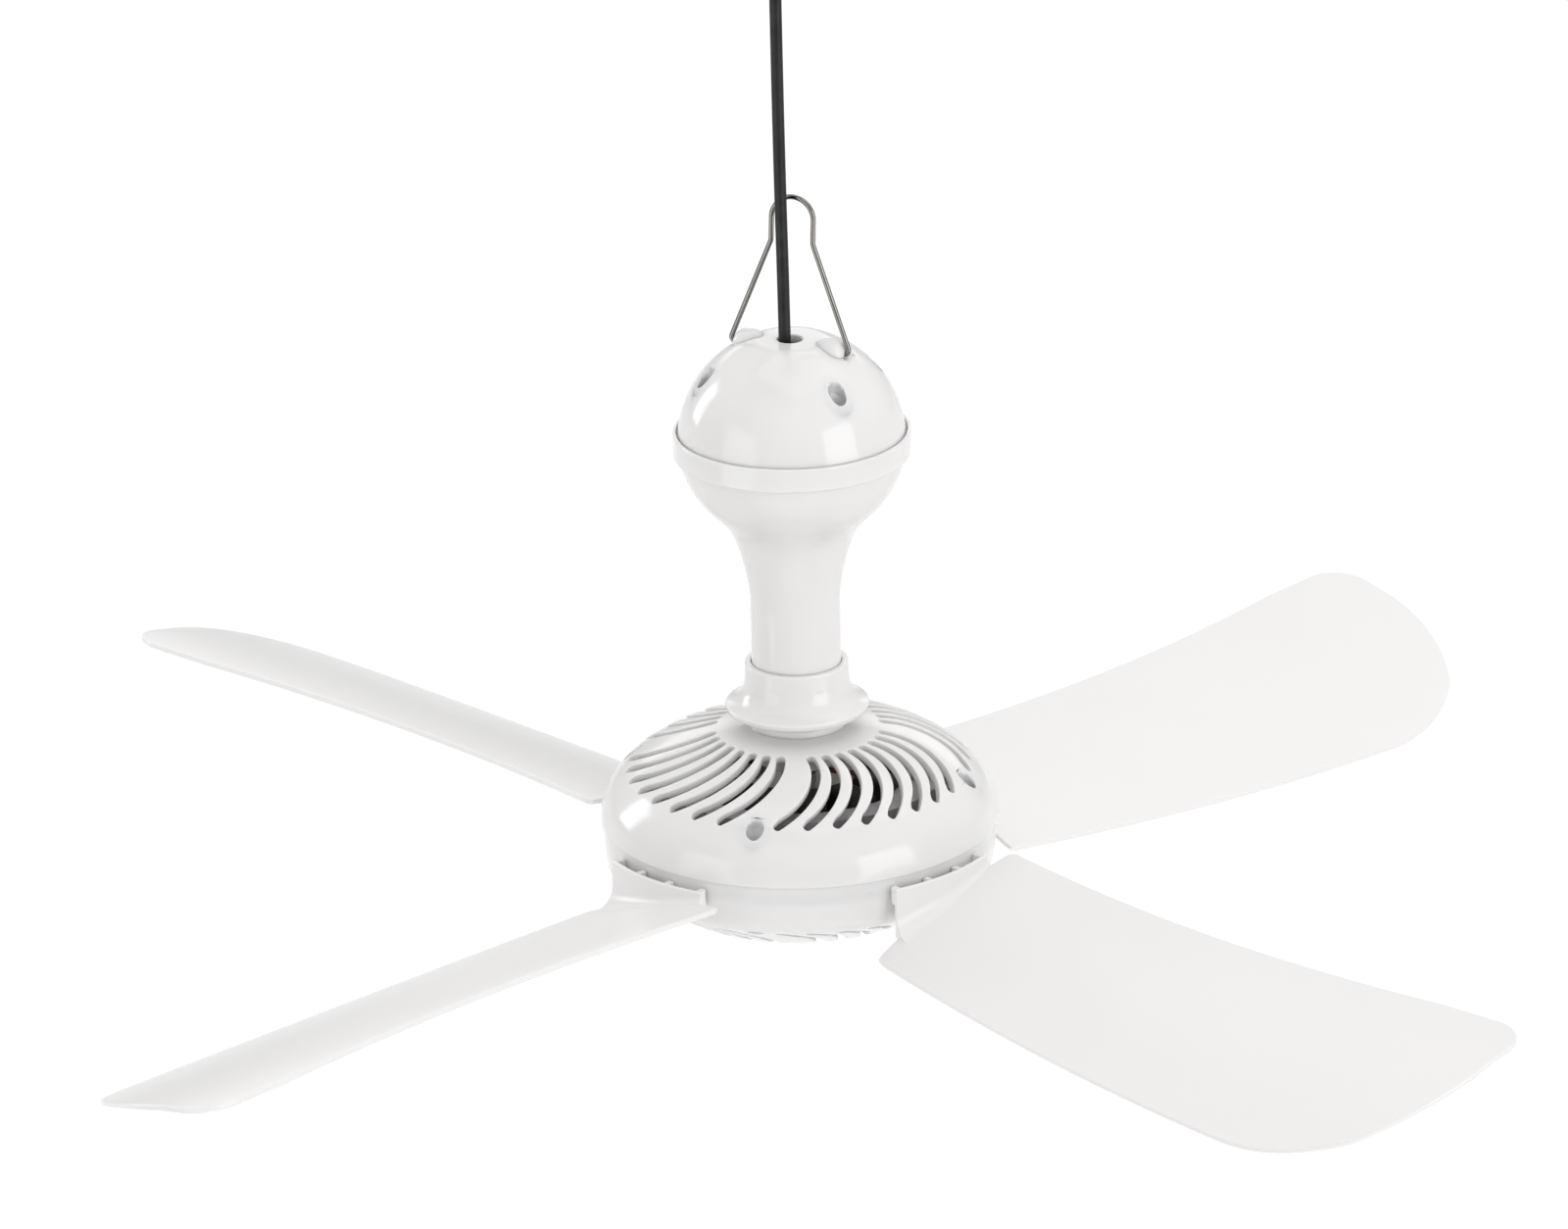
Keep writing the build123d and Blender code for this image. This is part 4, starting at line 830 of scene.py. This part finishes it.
def cup_height(r):
    """Height of the cup's sloping and flat underside at a radius."""
    chamfer, foot, floor = CUP_SLOPE
    for upper, lower in ((chamfer, foot), (foot, floor)):
        if r > lower[0]:
            return lower[1] + (upper[1] - lower[1]) * (r - lower[0]) / (upper[0] - lower[0])
    return floor[1]


def ball_height(r):
    """Height of the ball's outside at a radius."""
    return BALL_H + math.sqrt(max(0.0, DOME_R ** 2 - r ** 2))


class MESH_OT_fan_top_cover(bpy.types.Operator):
    """Model the upper rotor shell with its vents, ring and screw pockets"""

    bl_idname = "mesh.fan_top_cover"
    bl_label = "Top cover"

    def execute(self, context):
        sizes = context.scene.fan_sizes
        edge = [math.radians(angle) for angle in range(0, 26, 5)]
        outside = [(COVER_R, PARTING_H)]
        outside += [(COVER_R * math.cos(a), COVER_RISE * math.sin(a)) for a in edge]
        inside = [(r, cover_height(r)) for r in COVER_INNER_RADII]
        skin = vented_skin(cover_height, outside, vent_rows(*COVER_VENT_RADII), inside)
        thickened(skin, sizes.wall / MM)
        for place in COVER_SCREWS:
            cut(skin, pocket_cutter(place, COVER_POCKET_H))
        tidy(skin, nearer=0.06)
        rounded(skin, sizes.vent_rounding / MM, angle=35)
        bosses = [screw_boss(place, cover_height, COVER_POCKET_H, COVER_BOSS_FOOT_H)
                  for place in COVER_SCREWS]
        ring = turned(COVER_RING, steps=96)
        cover = joined("top_cover_moulded", skin, ring, *bosses)
        settle(cover)
        dress(cover, "rotor", "gloss_white", "top_cover")
        return {"FINISHED"}


class MESH_OT_fan_bottom_cup(bpy.types.Operator):
    """Model the lower rotor shell with its vents, spigot, skirt and bosses"""

    bl_idname = "mesh.fan_bottom_cup"
    bl_label = "Bottom cup"

    def execute(self, context):
        sizes = context.scene.fan_sizes
        outside = [*CUP_SIDE, (CUP_SLOPE_R, cup_height(CUP_SLOPE_R))]
        inside = [(r, cup_height(r)) for r in CUP_INNER_RADII]
        skin = vented_skin(cup_height, outside, vent_rows(*CUP_VENT_RADII), inside)
        thickened(skin, sizes.wall / MM)
        for azimuth in BLADE_AZIMUTHS:
            cut(skin, block(*TAB_SLOT, azimuth))
        rounded(skin, sizes.vent_rounding / MM, angle=50)
        spigot = turned(CUP_SPIGOT, steps=128)
        skirt = turned(CUP_SKIRT, steps=96)
        hub = turned(CUP_HUB, steps=64)
        bosses = [turned(CUP_BOSS, steps=24, centre=(place.real, place.imag))
                  for place in COVER_SCREWS]
        cup = joined("bottom_cup_moulded", skin, spigot, skirt, hub, *bosses)
        settle(cup)
        dress(cup, "rotor", "gloss_white", "bottom_cup")
        return {"FINISHED"}


class MESH_OT_fan_dome(bpy.types.Operator):
    """Model the ball's upper half with its ears, cord hole and screw pockets"""

    bl_idname = "mesh.fan_dome"
    bl_label = "Dome"

    def execute(self, context):
        rim = self.ball(DOME_R, DOME_SHOULDER_H)
        top = [(radius, DOME_TOP_H + rise) for radius, rise in FLAT_TOP]
        hollow = self.ball(DOME_R - DOME_WALL, DOME_INNER_H)
        shell = turned([*rim, *top, (CORD_HOLE_R, DOME_INNER_H), *reversed(hollow)], steps=144)
        for place in BALL_SCREWS:
            cut(shell, pocket_cutter(place, BALL_POCKET_H))
        for side in (-1, 1):
            low, high = ((side * BAIL_NOTCH_R + x, y, h) for x, y, h in BAIL_NOTCH)
            cut(shell, block(low, high, HINGE_AZIMUTH))
        tidy(shell, nearer=0.04)
        rounded(shell, DOME_SOFT, angle=35)
        bosses = [screw_boss(place, ball_height, BALL_POCKET_H, BALL_BOSS_FOOT_H)
                  for place in BALL_SCREWS]
        ears = [self.ear(side) for side in (-1, 1)]
        dome = joined("dome_cover_moulded", shell, *bosses, *ears)
        settle(dome)
        dress(dome, "stem", "gloss_white", "dome_cover")
        return {"FINISHED"}

    def ball(self, radius, high):
        """The round part of the outline, from the dome's seat up to a height."""
        first, last = (math.asin((h - BALL_H) / radius) for h in (DOME_SEAT_H, high))
        angles = [first + (last - first) * step / DOME_STEPS for step in range(DOME_STEPS + 1)]
        return [(radius * math.cos(a), BALL_H + radius * math.sin(a)) for a in angles]

    def ear(self, side):
        """One ear: a round-backed stub on the hinge line, with a soft nose and the wire's hole."""
        quarter = [math.radians(angle) for angle in range(0, 91, 9)]
        back = [(EAR_R * math.sin(a), EAR_BACK - EAR_R * math.cos(a)) for a in quarter]
        ear = turned([*back, *EAR_NOSE], steps=48, closed=False)
        along = polar(side, HINGE_AZIMUTH)
        lay = Vector((along.real, along.imag, 0)).to_track_quat("Z", "Y").to_matrix().to_4x4()
        ear.data.transform(Matrix.Translation((0, 0, EAR_H)) @ lay)
        hole = rod(PIVOT_R, *PIVOT_HOLE, segments=24)
        hole.data.transform(Matrix.Translation((0, 0, PIVOT_H)) @ lay)
        cut(ear, hole)
        return ear


class MESH_OT_fan_finishes(bpy.types.Operator):
    """Give each piece of the frame its finish"""

    bl_idname = "mesh.fan_finishes"
    bl_label = "Finishes"

    def execute(self, context):
        looks = context.scene.fan_looks
        blades = [f"blade_{number}" for number in range(1, 5)]
        coats = [
            (moulded_plastic("gloss_white", looks.shell_colour, looks.shell_roughness,
                             grain=0.002 * MM, rounding=looks.edge_rounding, glow=0.45),
             "dome_cover", "neck_shell", "collar", "top_cover", "bottom_cup", "bottom_cap",
             "cord_clamp"),
            (moulded_plastic("satin_white", looks.blade_colour, roughness=0.26), *blades),
            (extruded_rubber("cord_sheath", looks.cord_colour, roughness=0.38), "cord_lower"),
            (moulded_plastic("plug_rubber", looks.cord_colour, roughness=0.45,
                             grain=0.03 * MM, rounding=0.5 * MM),
             "plug_relief", "plug_body"),
            (drawn_metal("bail_chrome", (0.25, 0.24, 0.23), roughness=0.12), "bail"),
            (drawn_metal("turned_steel", (0.56, 0.56, 0.57), roughness=0.25, stretch=(1, 1, 8)),
             "shaft"),
            (drawn_metal("cast_aluminium", (0.7, 0.7, 0.71), roughness=0.45), "rotor_cage"),
            (drawn_metal("zinc_screws", (0.85, 0.85, 0.85), roughness=0.35),
             "ball_screws", "cover_screws", "clamp_screws", "terminal_screws", "shaft_nut",
             "nut_washer", "shaft_clip", "plug_pins"),
            (drawn_metal("turned_brass", (0.7, 0.5, 0.2), roughness=0.25), "terminal_tubes"),
            (drawn_metal("bronze", (0.45, 0.28, 0.14), roughness=0.45),
             "top_bush", "bottom_bush"),
            (wound_wire("winding_wire", (0.045, 0.03, 0.025), wire=0.25 * MM), "windings"),
            (laminated_steel("stator_sheets", (0.5, 0.48, 0.45), sheet=0.5 * MM), "stator_core"),
            (laminated_steel("rotor_sheets", (0.5, 0.48, 0.45), sheet=0.5 * MM), "rotor_ring"),
            (moulded_plastic("lead_sleeves", (0.16, 0.05, 0.02), roughness=0.4, grain=0.01 * MM),
             "motor_leads"),
            (moulded_plastic("nylon", (0.55, 0.54, 0.5), roughness=0.5, grain=0.02 * MM),
             "stator_insulators", "thrust_washer"),
            (moulded_plastic("capacitor_case", (0.03, 0.03, 0.035), roughness=0.4,
                             grain=0.02 * MM, rounding=0.3 * MM),
             "run_capacitor"),
            (moulded_plastic("terminal_plastic", (0.7, 0.69, 0.66), roughness=0.45,
                             grain=0.02 * MM, rounding=0.3 * MM),
             "terminal_block"),
        ]
        finishes = {name: material for material, *names in coats for name in names}
        for name, node in frame["nodes"].items():
            for place in node.material_slots:
                place.material = finishes[name]
        return {"FINISHED"}


class CURVE_OT_fan_cord(bpy.types.Operator):
    """Hang the cord along its route"""

    bl_idname = "curve.fan_cord"
    bl_label = "Cord"

    def execute(self, context):
        sizes = context.scene.fan_cord
        deselect()
        route = bpy.data.curves.new("cord", "CURVE")
        route.dimensions = "3D"
        route.bevel_depth = sizes.thickness / 2
        route.bevel_resolution = 6
        route.resolution_u = 24
        route.use_fill_caps = True
        line = route.splines.new("NURBS")
        line.points.add(len(CORD_POINTS) - 1)
        for point, place in zip(line.points, CORD_POINTS):
            point.co = (*[c * MM for c in place], 1)
        line.order_u = 3
        line.use_endpoint_u = True
        cord = bpy.data.objects.new("cord", route)
        context.scene.collection.objects.link(cord)
        route.materials.append(bpy.data.materials["cord_sheath"])
        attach(cord, "stem")
        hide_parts("cord_lower")
        return {"FINISHED"}


class OBJECT_OT_fan_stage(bpy.types.Operator):
    """Set the floor, the soft lights and the camera"""

    bl_idname = "object.fan_stage"
    bl_label = "Stage"

    def execute(self, context):
        scene, stage = context.scene, context.scene.fan_stage
        self.set_floor(stage.floor_drop)
        self.set_world(scene)
        self.set_lights(scene, stage.light)
        self.set_camera(scene, stage)
        scene.view_settings.view_transform = "Standard"
        return {"FINISHED"}

    def set_floor(self, drop):
        deselect()
        bpy.ops.mesh.primitive_plane_add(size=FLOOR_SIZE, location=(0, 0, -drop))
        floor = bpy.context.object
        floor.name = "floor"
        light_grey, grey = (0.9, 0.9, 0.9), (0.88, 0.88, 0.88)
        material, tree, shader, coords = new_finish("floor_paint", light_grey, roughness=0.6)
        clouds = noise(tree, coords, per_metre=0.8, detail=2)
        tint(tree, clouds, shader.inputs["Base Color"], light_grey, grey)
        shader.inputs["Emission Color"].default_value = (1, 1, 1, 1)
        shader.inputs["Emission Strength"].default_value = 0.1
        floor.data.materials.append(material)

    def set_world(self, scene):
        world = bpy.data.worlds.new("studio")
        world.use_nodes = True
        tree = world.node_tree
        background = tree.nodes["Background"]
        coords = tree.nodes.new("ShaderNodeTexCoord")
        split = tree.nodes.new("ShaderNodeSeparateXYZ")
        tree.links.new(coords.outputs["Generated"], split.inputs["Vector"])
        ramp = tree.nodes.new("ShaderNodeValToRGB")
        ramp.color_ramp.elements.new(0.75)  # a third stop, which the loop then places
        for stop, (height, grey) in zip(ramp.color_ramp.elements, SKY):
            stop.position, stop.color = height, (grey, grey, grey, 1)
        background.inputs["Strength"].default_value = SKY_STRENGTH
        tree.links.new(split.outputs["Z"], ramp.inputs["Fac"])
        tree.links.new(ramp.outputs["Color"], background.inputs["Color"])
        scene.world = world

    def set_lights(self, scene, strength):
        for name, place, size, power in LIGHTS:
            lamp = bpy.data.lights.new(name, "AREA")
            lamp.shape = "RECTANGLE"
            lamp.size, lamp.size_y = size
            lamp.energy = power * strength
            light = bpy.data.objects.new(name, lamp)
            light.location = place
            # The backdrop's light falls straight down on the floor behind.
            aim = Vector((0, 0, -1)) if name == "backdrop" else LIGHT_AIM - Vector(place)
            light.rotation_mode = "QUATERNION"
            light.rotation_quaternion = aim.to_track_quat("-Z", "Y")
            scene.collection.objects.link(light)

    def set_camera(self, scene, stage):
        pitch, roll = stage.camera_pitch, stage.camera_roll
        ahead = Vector((0, math.cos(pitch), -math.sin(pitch)))
        level = Vector((1, 0, 0))
        upright = Vector((0, math.sin(pitch), math.cos(pitch)))
        right = level * math.cos(roll) + upright * math.sin(roll)
        up = upright * math.cos(roll) - level * math.sin(roll)
        lens = bpy.data.cameras.new("camera")
        lens.sensor_width = SENSOR
        lens.lens = LENS
        lens.clip_start, lens.clip_end = 0.1, 100
        camera = bpy.data.objects.new("camera", lens)
        aside = (right * CAMERA_RIGHT + up * CAMERA_UP) * MM
        place = AXIS - ahead * stage.camera_distance + aside
        turn = Matrix((right, up, -ahead)).transposed().to_4x4()
        camera.matrix_world = Matrix.Translation(place) @ turn
        scene.collection.objects.link(camera)
        scene.camera = camera


class VIEW3D_PT_fan(bpy.types.Panel):
    """The fan's steps and what can be changed"""

    bl_label = "Camping Fan"
    bl_space_type = "VIEW_3D"
    bl_region_type = "UI"
    bl_category = "Camping Fan"

    def draw(self, context):
        for step in STEPS:
            self.layout.operator(step.bl_idname)
        for group in GROUPS:
            settings = getattr(context.scene, group)
            box = self.layout.box()
            for name in settings.__annotations__:
                box.prop(settings, name)


STEPS = (MESH_OT_fan_finishes, CURVE_OT_fan_cord, MESH_OT_fan_top_cover, MESH_OT_fan_bottom_cup,
         MESH_OT_fan_dome, MESH_OT_fan_blades, OBJECT_OT_fan_stage)
GROUPS = {"fan_looks": FanLooks, "fan_sizes": FanSizes, "fan_cord": FanCord,
          "fan_stage": FanStage}
CLASSES = (*GROUPS.values(), *STEPS, VIEW3D_PT_fan)


def register():
    for part in CLASSES:
        bpy.utils.register_class(part)
    for name, group in GROUPS.items():
        setattr(bpy.types.Scene, name, bpy.props.PointerProperty(type=group))


def unregister():
    for name in GROUPS:
        delattr(bpy.types.Scene, name)
    for part in reversed(CLASSES):
        bpy.utils.unregister_class(part)


def main():
    register()
    for step in STEPS:
        group, name = step.bl_idname.split(".")
        getattr(getattr(bpy.ops, group), name)()


if __name__ == "__main__":
    main()
